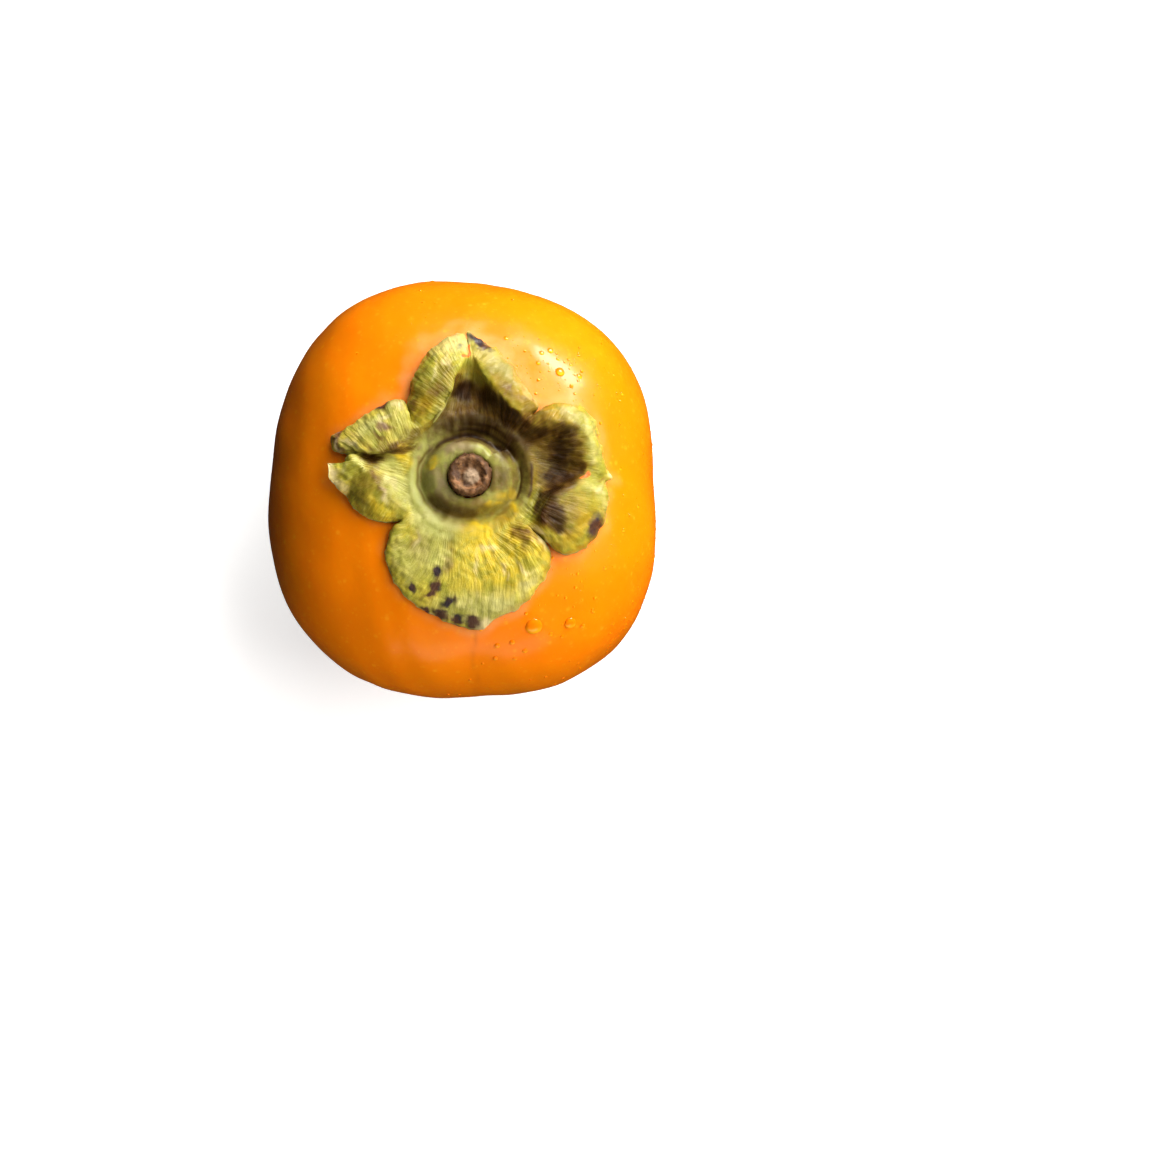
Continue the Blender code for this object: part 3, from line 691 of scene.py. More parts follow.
# Marks on the calyx: X, Y from the stem in mm, radius along and across, turn in degrees, strength if not 1
calyxMarks = {
    "spot": (
        (-5.9, -17.3, 0.75, 0.9, 0), (-6.3, -20.0, 1.0, 0.9, 0), (-7.2, -21.2, 0.8, 0.35, 20),
        (-10.4, -20.1, 0.5, 0.9, 10), (-3.9, -22.8, 1.5, 0.75, 25), (-8.1, -24.0, 0.85, 0.5, -20),
        (-5.3, -24.9, 1.3, 0.8, -28), (-2.3, -25.7, 1.0, 0.85, 0), (0.4, -26.2, 1.2, 1.1, 0),
        (22.7, -8.8, 2.1, 0.95, 68), (1.6, 25.0, 2.5, 0.6, -35), (2.2, 24.2, 1.2, 0.7, -20),
        (-16.2, 13.4, 1.2, 1.0, 0), (-1.9, 24.0, 0.8, 0.8, 0, 0.6),
    ),
    # pale and cream marks: partly the leaf's own pale colour, partly painted highlight where edges, folds
    # and the curled tip catch the light
    "paleAndHighlight": (
        (-25.2, 1.2, 1.9, 1.0, -70), (-23.4, -1.6, 1.4, 0.8, -35, 0.7), (-16.2, 10.2, 1.3, 0.3, -55, 0.7),
        (-24.3, 6.2, 1.4, 0.35, -70, 0.8), (-24.5, -0.8, 1.5, 0.9, -55, 0.9), (2.4, -26.8, 1.6, 1.1, 20),
        (-3.4, 24.6, 3.4, 2.2, 20, 0.55), (3.6, 22.0, 3.0, 1.4, -35, 0.35),
        (6.4, 19.8, 3.0, 0.9, -50, 0.2), (13.0, -11.4, 1.9, 0.6, -58), (25.6, 0.5, 0.9, 0.7, 0),
        (-13.0, 13.2, 1.3, 1.1, 0, 0.8), (-15.4, 10.6, 0.9, 0.5, 40, 0.8),
        (9.6, -16.8, 1.6, 0.4, -55, 0.7), (-15.4, -4.0, 1.6, 0.8, -60, 0.6),
        (6.6, -17.4, 1.6, 0.4, -75, 0.6), (3.2, -13.2, 1.4, 0.8, 0, 0.7),
        (10.8, 14.8, 3.4, 0.4, -52, 0.4), (1.2, -16.2, 0.5, 2.4, 0, 0.5),
        (-21.6, 6.2, 2.0, 0.35, -40, 0.7), (-24.4, 5.4, 1.6, 0.5, -80, 0.8),
        (-4.2, 21.2, 2.4, 0.4, 80, 0.6), (-6.2, 19.2, 2.6, 0.35, 75, 0.5),
        (-14.2, -1.0, 2.2, 0.6, -60, 0.4), (18.0, 12.0, 1.4, 0.7, -10, 0.4),
        (21.4, 10.2, 1.2, 0.6, -60, 0.4), (23.4, -2.4, 0.9, 0.7, 0, 0.8),
        (-9.4, -11.6, 1.4, 0.5, 70, 0.5), (22.6, 2.6, 0.6, 1.2, 0, 0.25),
    ),
    # light green marks: partly fresh leaf colour, partly painted highlight along crests and margins
    "mintAndHighlight": (
        (-20.3, 2.9, 2.6, 0.55, -42), (22.4, -1.6, 2.0, 0.9, -15, 0.9), (24.2, -4.6, 0.6, 3.0, 0, 0.7),
        (18.6, 11.6, 2.6, 1.0, -35, 0.9), (21.6, 9.2, 2.6, 0.9, -60, 0.5),
        (23.0, 5.4, 2.8, 0.8, -82, 0.4), (2.4, -23.4, 8.0, 2.6, 0, 0.9), (-6.6, -12.0, 2.6, 5.0, 0, 0.6),
        (10.4, -19.4, 3.2, 1.8, 45, 0.8), (-11.6, -15.6, 1.6, 4.6, 20, 0.5),
        (-3.6, -8.6, 3.0, 1.2, 0, 0.5), (-12.8, -1.4, 4.6, 2.2, -60, 0.45),
        (-8.0, -8.0, 3.6, 2.0, -40, 0.7), (-3.4, 13.4, 2.4, 0.6, 80, 0.9),
        (-5.0, 11.4, 1.4, 0.5, 50, 0.8), (-22.8, 1.4, 0.9, 0.5, 0, 0.6), (-18.6, 8.6, 5.0, 2.2, 30, 0.6),
        (-14.2, 11.4, 1.8, 1.8, 0, 0.5),
    ),
    "rust": (
        (-5.6, 15.4, 1.6, 1.1, 30), (-7.2, -21.5, 1.5, 0.7, 10), (-17.0, 0.2, 1.9, 0.55, -56),
        (-16.2, -2.6, 1.6, 0.7, -70, 0.9), (-16.0, 9.0, 1.9, 0.45, -30), (-16.4, 6.9, 1.9, 0.6, -38),
        (-18.0, 5.2, 1.6, 0.6, -30, 0.8), (-15.4, 5.4, 1.6, 0.7, 10, 0.8), (-25.0, 7.4, 1.6, 1.0, 80),
        (-23.6, 5.8, 1.8, 0.5, -70, 0.9), (11.0, -19.6, 1.4, 0.9, 0, 0.6), (9.6, -10.6, 2.4, 1.6, -40),
        (10.6, -10.2, 1.2, 1.0, 0), (12.0, -11.6, 2.2, 0.5, -55), (10.6, 10.4, 1.8, 1.6, 50),
        (12.8, 9.6, 1.8, 1.2, 30, 0.8), (-10.2, 12.6, 1.0, 0.8, 0), (6.6, 15.4, 2.0, 0.5, 70, 0.7),
        (-4.4, -25.0, 3.4, 0.6, -25, 0.7), (-8.6, 11.6, 2.4, 0.5, 60, 0.6),
        (-1.2, -8.9, 1.6, 0.4, 0, 0.6), (-21.6, 7.8, 1.6, 0.4, -35, 0.6), (-9.2, 1.0, 0.4, 3.4, 0, 0.6),
        (24.0, -0.3, 0.7, 0.4, -30, 0.8), (-10.0, -11.6, 1.6, 0.6, 60, 0.5),
    ),
    "yellow": (
        (5.6, -13.6, 9.0, 6.6, -24), (9.4, -12.4, 3.6, 3.6, 0), (9.4, -18.4, 3.6, 2.8, 20, 0.8),
        (3.0, -20.0, 5.0, 2.6, 0, 0.4), (3.0, -11.0, 2.4, 1.2, -10), (4.6, -15.0, 4.0, 1.4, -10),
        (2.0, -8.9, 4.2, 0.9, 0), (8.6, -6.0, 2.0, 1.4, -50), (10.8, -14.0, 3.6, 3.0, -45),
        (-19.8, 6.2, 1.8, 1.3, -30, 0.9), (-21.4, 7.6, 2.0, 1.2, -30, 0.9),
        (5.4, 17.4, 2.2, 1.5, -50, 0.9), (9.4, 14.6, 4.6, 2.0, -48, 0.9), (-8.6, 12.4, 2.4, 1.8, 60, 0.8),
        (-13.2, 9.0, 1.9, 2.8, 0, 0.8), (-12.4, 3.8, 1.6, 1.2, 10, 0.9), (5.4, -3.4, 1.4, 0.8, 20, 0.6),
        (7.6, -3.0, 0.9, 0.8, 20, 0.5), (4.0, -5.2, 1.8, 0.6, 20, 0.9), (7.0, -7.6, 1.8, 0.7, 0, 0.9),
        (21.0, -7.0, 3.0, 3.0, -15, 0.5), (-16.6, -6.2, 2.8, 1.2, -30, 0.8),
        (-23.4, -2.0, 1.5, 1.0, -40, 0.8), (17.6, -11.8, 3.2, 1.4, 10, 0.7), (-3.6, -12.8, 0.9, 1.3, 0),
        (-6.8, 2.4, 1.3, 1.0, 20), (-11.4, 2.8, 1.0, 2.4, 0, 0.7), (14.6, 11.6, 2.6, 1.4, 20, 0.8),
        (20.4, 5.0, 1.0, 2.6, 0, 0.8),
    ),
    "green": (
        (5.6, 20.2, 4.0, 2.2, -50, 0.8), (22.4, 6.2, 3.6, 1.4, -80, 0.8), (23.6, -2.4, 1.2, 2.2, 0, 0.6),
        (-9.6, -2.6, 5.6, 2.4, 95, 0.8), (-6.0, -9.6, 4.4, 2.2, -30), (-5.6, -14.6, 2.2, 2.0, 0, 0.7),
        (-13.4, -2.4, 4.0, 2.2, -52), (-12.9, 8.8, 1.6, 2.6, -20), (-17.4, 9.4, 2.4, 1.4, 20, 0.7),
        (-9.4, -15.8, 4.6, 2.6, -40, 0.6), (10.4, -7.6, 1.0, 1.2, 0, 0.8),
        (-14.6, 2.4, 2.8, 1.0, 10, 0.7),
    ),
    # dark olive marks: partly the leaf's own olive, partly painted shade in valleys, beside knobs and along
    # shaded margins
    "oliveAndShade": (
        (-13.2, -15.4, 4.4, 0.9, -72, 0.4), (-20.2, -3.0, 3.6, 1.4, -75),
        (-18.8, -0.4, 2.2, 1.4, -55, 0.8), (-3.7, -12.4, 0.9, 2.6, 0, 0.9),
        (12.2, -15.0, 0.7, 3.0, -30, 0.5), (-8.2, 19.6, 3.6, 0.8, 60, 0.8),
        (-5.0, 18.8, 3.2, 1.2, 70, 0.7), (-9.6, 15.2, 3.0, 1.0, 75, 0.8), (-11.0, 7.6, 2.0, 1.4, 30),
        (3.0, -5.8, 3.0, 0.7, 15, 0.7), (7.6, -13.0, 3.4, 0.5, -65, 0.7),
        (9.4, -11.0, 2.4, 0.7, -60, 0.8), (12.2, -4.6, 0.8, 3.4, 0, 0.6), (18.4, -6.0, 2.0, 3.8, 0, 0.7),
        (20.4, 5.0, 1.1, 3.4, 0, 0.9), (16.8, -8.4, 2.4, 2.0, 0, 0.6), (16.8, -12.4, 3.0, 1.2, 10, 0.6),
        (-13.6, 7.0, 1.4, 1.4, 0, 0.4), (-11.7, 9.0, 0.9, 1.6, 0, 0.8), (-22.8, 0.8, 1.0, 0.9, 0),
        (7.0, 15.6, 3.4, 1.2, -50, 0.8), (10.4, 13.4, 2.8, 1.4, -50, 0.7),
        (4.4, 18.6, 1.6, 0.6, -50, 0.7), (11.0, 12.0, 2.0, 1.0, -30, 0.8), (13.0, 12.0, 1.4, 1.4, 0, 0.7),
        (-7.0, 3.4, 1.2, 1.4, 0, 0.7), (-8.2, -1.6, 0.9, 3.0, 15, 0.5), (-18.0, -6.2, 1.6, 0.9, -20, 0.5),
        (6.0, -11.4, 3.0, 0.5, -60, 0.6),
    ),
    "beige": (
        (-2.6, 5.3, 4.2, 1.5, 8), (-5.6, -1.8, 1.2, 2.8, 20, 0.9), (-2.8, -4.5, 3.0, 1.0, -30, 0.9),
        (1.2, -4.8, 2.2, 0.7, 5, 0.8), (2.6, 5.6, 2.2, 0.8, -30, 0.8), (-5.4, 5.0, 1.2, 0.6, -40, 0.8),
        (4.8, -1.2, 0.8, 2.4, 0, 0.5), (-9.6, -13.0, 1.8, 2.0, 30, 0.6),
    ),
    "plum": (
        (14.4, -3.0, 1.9, 0.9, 20), (13.2, -7.0, 2.0, 0.6, -75), (-1.2, 15.4, 1.0, 2.0, 0, 0.5),
        (-4.2, -16.2, 1.0, 1.6, 0, 0.4), (-0.2, 26.0, 0.8, 0.5, -30, 0.8),
        (-24.4, 7.0, 1.6, 0.8, -75, 0.9), (-15.2, 8.8, 1.2, 0.5, -30, 0.7),
    ),
    "orange": (
        (-0.5, 24.0, 0.7, 0.35, -50), (-0.2, 22.9, 0.9, 0.4, 80), (-0.9, 22.0, 0.9, 0.4, 40),
        (21.0, 0.3, 1.4, 0.36, 24),
    ),
    # dark stains with painted shadow within the hollows and the gaps between flaps, then the same darkness
    # where it runs over a crest
    "stainAndShadow": (
        (2.8, 14.0, 4.2, 2.2, -32), (-0.8, 16.0, 2.8, 2.2, 0, 0.95), (6.8, 11.4, 4.4, 2.4, -42),
        (2.6, 11.2, 7.0, 3.6, -12, 0.6), (-3.0, 11.2, 4.4, 3.2, 20, 0.42), (-0.4, 18.2, 2.2, 2.6, 0, 0.2),
        (1.6, 12.8, 3.6, 1.8, 0, 0.7), (9.6, 8.6, 3.2, 1.8, -42, 0.7), (4.6, 8.4, 6.4, 1.4, -18, 0.6),
        (6.4, 5.8, 3.2, 1.6, -42, 0.5), (-13.6, 4.8, 3.4, 0.5, 10, 0.5), (-17.6, 3.4, 2.2, 0.8, -10, 0.9),
    ),
    "stainAndShadowOverCrest": (
        (15.3, -1.8, 1.9, 3.2, -10, 0.95), (16.4, 4.2, 4.8, 2.2, 86), (17.2, 0.0, 2.8, 2.0, 10),
        (17.0, 7.4, 2.2, 1.9, 0, 0.95), (18.4, 5.0, 1.6, 2.6, 0, 0.7), (13.6, 8.0, 3.6, 1.3, 8, 0.75),
        (19.6, 1.4, 1.6, 1.4, 0, 0.7), (13.6, 3.0, 6.4, 2.6, 90, 0.45), (18.8, 2.2, 2.2, 1.4, 80, 0.6),
        (15.6, 0.2, 2.6, 2.2, 0, 0.95), (15.2, -6.6, 3.2, 1.5, -80, 0.95),
        (15.8, -8.8, 2.2, 1.5, -40, 0.75), (13.4, -6.4, 3.0, 1.2, 80, 0.7),
        (10.4, 6.8, 3.2, 2.0, 100, 0.4), (10.6, -0.4, 4.4, 1.8, 90, 0.2), (14.2, -3.6, 2.0, 1.2, 20, 0.5),
        (-17.7, 3.1, 1.6, 0.9, -20, 0.9), (-13.6, 5.0, 2.8, 0.6, 25, 0.6),
    ),
    # painted shade, gentler than the stains, within the hollows and on both sides of a crest
    "shade": (
        (6.8, 1.4, 4.6, 2.4, 88, 0.7), (4.0, 5.2, 2.6, 1.2, -40, 0.4), (-4.6, 8.8, 5.0, 1.5, 8, 0.6),
        (-10.6, 8.0, 2.6, 1.2, 30, 0.45), (0.0, 9.2, 8.0, 2.0, 0, 0.5), (-0.6, -5.4, 5.4, 1.5, -5, 0.55),
        (5.0, -6.4, 3.0, 0.8, 12, 0.5), (1.6, 6.6, 3.0, 0.8, 0, 0.3), (11.2, 6.8, 5.0, 1.6, 0, 0.75),
        (4.9, -1.6, 1.3, 2.2, 0, 0.6), (6.6, -7.4, 2.4, 0.8, 30, 0.5), (9.6, 5.0, 2.0, 3.6, 0, 0.6),
    ),
    # painted shade that is not kept to the hollows, over lit faces and across crests
    "shadeAcrossCrest": (
        (7.8, 16.4, 8.4, 4.4, -54, 0.55), (10.2, 13.6, 3.4, 2.0, -50, 0.7),
        (3.4, 21.6, 3.6, 2.6, -40, 0.25), (14.0, 11.6, 3.4, 2.2, 10, 0.45),
        (20.6, 7.0, 8.0, 2.4, 110, 0.25), (20.0, -7.4, 5.4, 5.4, 0, 0.5),
        (-14.8, -3.6, 5.6, 1.8, -56, 0.3), (-16.4, -0.4, 2.6, 1.2, -55, 0.6),
        (-4.6, 16.0, 4.0, 2.0, 75, 0.45), (-8.0, 14.6, 3.0, 2.0, 70, 0.5), (-2.0, 12.4, 1.4, 2.2, 0, 0.4),
        (16.0, 11.4, 4.0, 2.4, 0, 0.5), (-10.2, -14.6, 3.0, 3.6, 0, 0.12),
        (13.8, -14.6, 3.0, 0.9, -70, 0.25), (10.6, 0.4, 1.0, 4.0, 0, 0.3),
        (9.4, -11.6, 3.0, 1.0, -55, 0.3), (-19.6, -2.6, 3.6, 2.4, -60, 0.5),
    ),
}
# Dark creases round the dome, with painted shade in the groove, most on the dome's lower left: X radius, Y
# radius, first and last heading, half-width, strength
calyxCreasesAndShade = (
    (9.0, 7.5, 28.0, 150.0, 0.5, 0.8),
    (10.0, 8.7, 20.0, 112.0, 0.3, 0.5),
    (10.8, 9.8, 35.0, 100.0, 0.25, 0.4),
    (9.4, 9.4, -26.0, 14.0, 0.18, 0.5),
    (11.3, 11.3, -22.0, 16.0, 0.2, 0.5),
    (9.6, 8.2, 130.0, 215.0, 0.26, 0.3),
    (8.3, 6.7, 200.0, 290.0, 0.95, 0.5),
    (8.6, 6.7, 50.0, 120.0, 0.3, 0.35),
)


def patchMask(points, name):
    # spots fall off evenly from 1 to 0 at twice their radius; other marks have a level middle
    isSpot = name == "spot"
    flat = points[:, :2] - stemAxis + sway(points, *calyxShape["spotSway" if isSpot else "markSway"])
    mask = np.zeros(len(points))
    for x, y, along, across, turn, *strength in calyxMarks[name]:
        turn = math.radians(turn)
        step = flat - (x, y)
        forward = (step[:, 0] * math.cos(turn) + step[:, 1] * math.sin(turn)) / along
        sideways = (step[:, 1] * math.cos(turn) - step[:, 0] * math.sin(turn)) / across
        reach = np.hypot(forward, sideways)
        level = 1 - reach / 2 if isSpot else 1 - smoothStep(0.2, 1.6, reach)
        mask = np.maximum(mask, level * (strength[0] if strength else 1.0))
    return np.clip(mask, 0, 1)


# dark creases and painted shade in the groove round the dome
def creaseAndShadeMask(points):
    flat = points[:, :2] - stemAxis + sway(points, *calyxShape["creaseSway"])
    heading = np.degrees(np.arctan2(flat[:, 1], flat[:, 0]))
    mask = np.zeros(len(points))
    rim = calyxShape["disc"][-1][0]  # the squeeze fades out here
    for radiusX, radiusY, first, last, width, strength in calyxCreasesAndShade:
        reach = 1 - domeSqueeze(heading) * (rim - radiusX) / 3
        offset = (np.hypot(flat[:, 0] / radiusX, flat[:, 1] / radiusY) - reach) * (radiusX + radiusY) / 2
        along = (heading - first) % 360 / (last - first)
        ends = smoothStep(0.0, 0.15, along) * (1 - smoothStep(0.85, 1.0, along))
        mask = np.maximum(mask, bump(offset, 0.0, width) * ends * strength)
    return mask


stemShape = {
    "radius": 3.85,
    "floor": 3.2,  # heights above the basin's middle
    "top": 7.0,
    "columns": 144,
    "rows": 60,
    "pith": (0.5, -0.4),
    # up the bark, over its ring and down to the pith: how far in from the radius, how far below the top
    "outline": (
        (0.0, 2.4), (-0.02, 1.4), (0.05, 0.7), (0.35, 0.2), (0.8, 0.02), (1.2, 0.25), (1.6, 0.75),
        (2.2, 0.85), (2.8, 0.6), (3.3, 0.35), (3.35, 0.25), (3.75, 0.22),
    ),
    "cracks": (31, 0.08),  # how many round the bark, depth
    "uneven": ((0.10, 0.9, 41), (0.06, 0.4, 42)),
}


def makeStem(material):
    shape = stemShape
    columns = shape["columns"]
    headings = headingSteps(columns)
    radius = shape["radius"]
    top = shape["top"]
    corners = [(radius - inward, top - below) for inward, below in shape["outline"]]
    profile = smoothCurve([(radius - 0.1, shape["floor"]), *corners], np.linspace(0, 1, shape["rows"]))
    basin = basinMiddle()[0, 2]
    rings = []
    for reach, height in profile:
        flat = compass(headings) * reach + stemAxis
        rings.append(np.column_stack([flat, np.full(columns, basin + height)]))
    points = np.concatenate(rings)
    normals = gridNormals(points, len(rings), columns)
    share = np.repeat(profile[:, 0] / radius, columns)
    heading = np.tile(headings, len(rings))
    count, depth = shape["cracks"]
    cracks = np.maximum(np.cos(heading * count + 2 * wander(points, 2.0, 43)), 0) ** 4
    relief = layered(points, shape["uneven"]) - depth * cracks * smoothStep(0.8, 1.0, share)
    relief *= smoothStep(0.02, 0.2, share)
    points = points + normals * relief[:, None]
    ends = [[*stemAxis, basin + shape["floor"]], [*stemAxis, basin + top - shape["outline"][-1][1]]]
    points = np.concatenate([points, ends])
    share = np.concatenate([share, [0.0, 0.0]])
    fromPith = np.hypot(*(points[:, :2] - stemAxis - shape["pith"]).T) / radius
    share = share + (fromPith - share) * (1 - smoothStep(0.2, 0.7, share))
    return makeObject("stemStub", points, closedFaces(len(rings), columns), material, {"fromPith": share})


styleShape = {
    "columns": 48,
    "rows": 22,
    # from the top of the pit down: radius, depth
    "outline": ((0.95, 0.0), (0.9, 0.25), (0.72, 0.5), (0.62, 0.8), (0.66, 1.05), (0.5, 1.3), (0.15, 1.2)),
    "lobes": ((4, 1.0, 0.14), (11, 0.0, 0.06)),  # how many, turn, size
}


def makeStyle(material):
    columns = styleShape["columns"]
    headings = headingSteps(columns)
    top = fruitShape["pitDepth"] - 0.05
    corners = [(radius, top - depth) for radius, depth in styleShape["outline"]]
    profile = smoothCurve(corners, np.linspace(0, 1, styleShape["rows"]))[::-1]
    lobed = 1 + sum(size * np.cos(count * headings + turn) for count, turn, size in styleShape["lobes"])
    rings = []
    for reach, height in profile:
        flat = (reach * lobed)[:, None] * compass(headings)
        rings.append(np.column_stack([flat, np.full(columns, height)]))
    points = np.concatenate(rings)
    points = points + 0.05 * wander(points, 0.3, 51)[:, None] * (1.0, 1.0, 0.4)
    points = np.concatenate([points, [[0, 0, profile[0, 1]], [0, 0, top]]])
    return makeObject("driedStyle", points, closedFaces(len(rings), columns), material)


skinColours = {
    "deep": (0.86, 0.188, 0.0006),
    "orange": (0.88, 0.208, 0.0008),
    "yellow": (0.90, 0.240, 0.0010),
    "bloom": (0.86, 0.295, 0.075),
    "speck": (0.95, 0.36, 0.015),
    "crease": (0.50, 0.09, 0.004),
}


def skinMaterial():
    material, tree, shader = startMaterial(
        "persimmonSkin", Subsurface_Weight=0.2, Subsurface_Radius=(1.0, 0.45, 0.15), Subsurface_Scale=0.002,
        Specular_IOR_Level=0.16, Coat_Weight=0.5, Coat_Roughness=0.18, IOR=1.45,
    )
    place = objectCoordinates(tree)
    broad = noiseNode(tree, place, 32.0, 3.0, 0.5, 0.4)
    patches = noiseNode(tree, place, 90.0, 4.0, 0.6)
    mottle = noiseNode(tree, place, 420.0, 4.0, 0.6)
    pores = noiseNode(tree, place, 1500.0, 2.0, 0.5)
    dimples = noiseNode(tree, place, 420.0, 3.0, 0.5)
    colour = tint(tree, skinColours["deep"], skinColours["orange"], broad, 0.35, 0.65)
    colour = tint(tree, colour, skinColours["yellow"], patches, 0.45, 0.8, 0.0, 0.55)
    bloom = times(tree, readAttribute(tree, "bloom"), mapRange(tree, mottle, 0.25, 0.65, 0.45, 1.0))
    colour = mixColour(tree, bloom, colour, skinColours["bloom"])
    for scale, size, strength in ((430.0, 0.28, 0.5), (900.0, 0.34, 0.35)):
        cells = addNode(tree, "ShaderNodeTexVoronoi", {"Vector": place, "Scale": scale}).outputs["Distance"]
        shown = mapRange(tree, mottle, 0.4, 0.62, 0.0, strength)
        specks = times(tree, mapRange(tree, cells, 0.06, size, 1.0, 0.0), shown)
        colour = mixColour(tree, specks, colour, skinColours["speck"])
    crease = times(tree, readAttribute(tree, "crease"), mapRange(tree, mottle, 0.3, 0.6, 0.4, 1.0))
    colour = mixColour(tree, crease, colour, skinColours["crease"])
    height = mathNode(tree, "ADD", times(tree, pores, 0.25), dimples)
    tree.links.new(colour, shader.inputs["Base Color"])
    tree.links.new(mapRange(tree, mottle, 0.3, 0.75, 0.30, 0.44), shader.inputs["Roughness"])
    tree.links.new(bumpNode(tree, height, 0.00006), shader.inputs["Normal"])
    return material


calyxColours = {
    "disc": (0.27, 0.268, 0.052),
    "discDeep": (0.165, 0.140, 0.030),
    "discTan": (0.22, 0.15, 0.050),
    "leafGreen": (0.31, 0.29, 0.026),
    "leafYellow": (0.50, 0.40, 0.036),
    "fibre": (0.50, 0.45, 0.14),
    "tan": (0.27, 0.165, 0.032),
    "brown": (0.12, 0.06, 0.018),
    "bright": (0.68, 0.47, 0.014),
    "freshGreen": (0.36, 0.39, 0.09),
    # mint: also the colour of painted highlight on crests and margins
    "mintAndHighlight": (0.56, 0.53, 0.19),
    # olive: also the colour of painted shade
    "oliveAndShade": (0.105, 0.082, 0.010),
    "beige": (0.25, 0.19, 0.09),
    "rust": (0.17, 0.055, 0.020),
    "plum": (0.45, 0.30, 0.90),  # this and the darkening below are fractions of the colour beneath
    # pale: also the colour of the painted highlights
    "paleAndHighlight": (0.68, 0.55, 0.27),
    "orange": (0.75, 0.12, 0.006),
    "spot": (0.030, 0.021, 0.024),
    "spotBrown": (0.075, 0.034, 0.018),
    # stain tone, also used for painted shadow and for the creases
    "stainAndShadow": (0.060, 0.026, 0.014),
    # tone of the painted shade
    "shade": (0.36, 0.27, 0.15),
}


def calyxMaterial():
    material, tree, shader = startMaterial("calyxLeaf", IOR=1.45, Coat_Weight=0.12, Coat_Roughness=0.2)
    colours = calyxColours
    place = objectCoordinates(tree)
    fibreMap = addNode(tree, "ShaderNodeUVMap", uv_map="fibre").outputs[0]
    stretch = addNode(tree, "ShaderNodeMapping", {"Vector": fibreMap, "Scale": (1.0, 0.13, 1.0)}).outputs[0]
    fibres = noiseNode(tree, stretch, 1.7, 4.0, 0.65, 0.1)
    threads = noiseNode(tree, stretch, 4.5, 3.0, 0.7)
    blotches = noiseNode(tree, place, 260.0, 5.0, 0.65, 0.5)
    crumbs = noiseNode(tree, place, 900.0, 4.0, 0.65)
    leafy = readAttribute(tree, "leafy")
    leaf = tint(tree, colours["leafGreen"], colours["leafYellow"], blotches, 0.38, 0.62)
    leaf = tint(tree, leaf, colours["fibre"], fibres, 0.50, 0.74, 0.0, 0.45)
    leaf = tint(tree, leaf, colours["tan"], fibres, 0.46, 0.30, 0.0, 0.36)
    leaf = tint(tree, leaf, colours["brown"], threads, 0.54, 0.76, 0.0, 0.28)
    leaf = tint(tree, leaf, colours["brown"], crumbs, 0.56, 0.78, 0.0, 0.5)
    disc = tint(tree, colours["disc"], colours["discDeep"], blotches, 0.38, 0.62)
    disc = tint(tree, disc, colours["discTan"], crumbs, 0.48, 0.70, 0.0, 0.7)
    colour = mixColour(tree, leafy, disc, leaf)
    streaky = mapRange(tree, fibres, 0.3, 0.62, 0.3, 1.0)
    blotchy = mapRange(tree, blotches, 0.35, 0.6, 0.3, 1.0)
    # marks in the order they lie on each other: attribute, colour, strength, what breaks them up
    for name, key, strength, broken in (
        ("beige", "beige", 0.85, blotchy),
        ("yellow", "bright", 0.95, blotchy),
        ("green", "freshGreen", 0.75, blotchy),
        # olive marks, partly painted shade
        ("oliveAndShade", "oliveAndShade", 0.8, blotchy),
        ("rust", "rust", 0.8, streaky),
        # mint marks, partly painted highlight
        ("mintAndHighlight", "mintAndHighlight", 0.85, blotchy),
    ):
        share = times(tree, times(tree, readAttribute(tree, name), strength), broken)
        colour = mixColour(tree, share, colour, colours[key])
    edge = mapRange(tree, readAttribute(tree, "fromMargin"), 0.0, 0.9, 0.5, 0.0)
    colour = mixColour(tree, times(tree, times(tree, edge, streaky), leafy), colour, colours["paleAndHighlight"])
    # darkening, by fractions of the colour beneath: painted shade, stains with painted shadow, plum, and
    # creases with painted shade
    for name, key, share in (
        # painted shade
        ("shade", "shade", mapRange(tree, blotches, 0.3, 0.6, 0.7, 1.0)),
        # stains with painted shadow
        ("stainAndShadow", "stainAndShadow", mapRange(tree, fibres, 0.36, 0.62, 0.72, 1.12)),
        ("plum", "plum", 1.0),
        # creases, partly painted shade in the groove
        ("crease", "stainAndShadow", 0.85),
    ):
        colour = darken(tree, colour, times(tree, readAttribute(tree, name), share), colours[key])
    # pale marks on top, partly painted highlight
    colour = mixColour(tree, times(tree, readAttribute(tree, "paleAndHighlight"), 0.8), colour, colours["paleAndHighlight"])
    colour = tint(tree, colour, colours["orange"], readAttribute(tree, "orange"), 0.3, 0.7)
    rough = mathNode(tree, "SUBTRACT", mathNode(tree, "ADD", crumbs, blotches), 1.0)
    spot = mathNode(tree, "ADD", readAttribute(tree, "spot"), times(tree, rough, 0.45))
    spotTone = tint(tree, colours["spot"], colours["spotBrown"], blotches, 0.42, 0.58)
    colour = tint(tree, colour, spotTone, spot, 0.16, 0.72)
    fine = times(tree, mathNode(tree, "ADD", fibres, threads), leafy)
    height = mathNode(tree, "ADD", fine, times(tree, crumbs, 0.6))
    tree.links.new(colour, shader.inputs["Base Color"])
    tree.links.new(mapRange(tree, fibres, 0.3, 0.7, 0.58, 0.36), shader.inputs["Roughness"])
    tree.links.new(bumpNode(tree, height, 0.00018), shader.inputs["Normal"])
    return material


stemColours = {
    "bark": (0.08, 0.034, 0.012),
    "wood": (0.20, 0.10, 0.038),
    "dark": (0.060, 0.028, 0.014),
    "pith": (0.31, 0.21, 0.125),
    "fleck": (0.27, 0.12, 0.045),
}


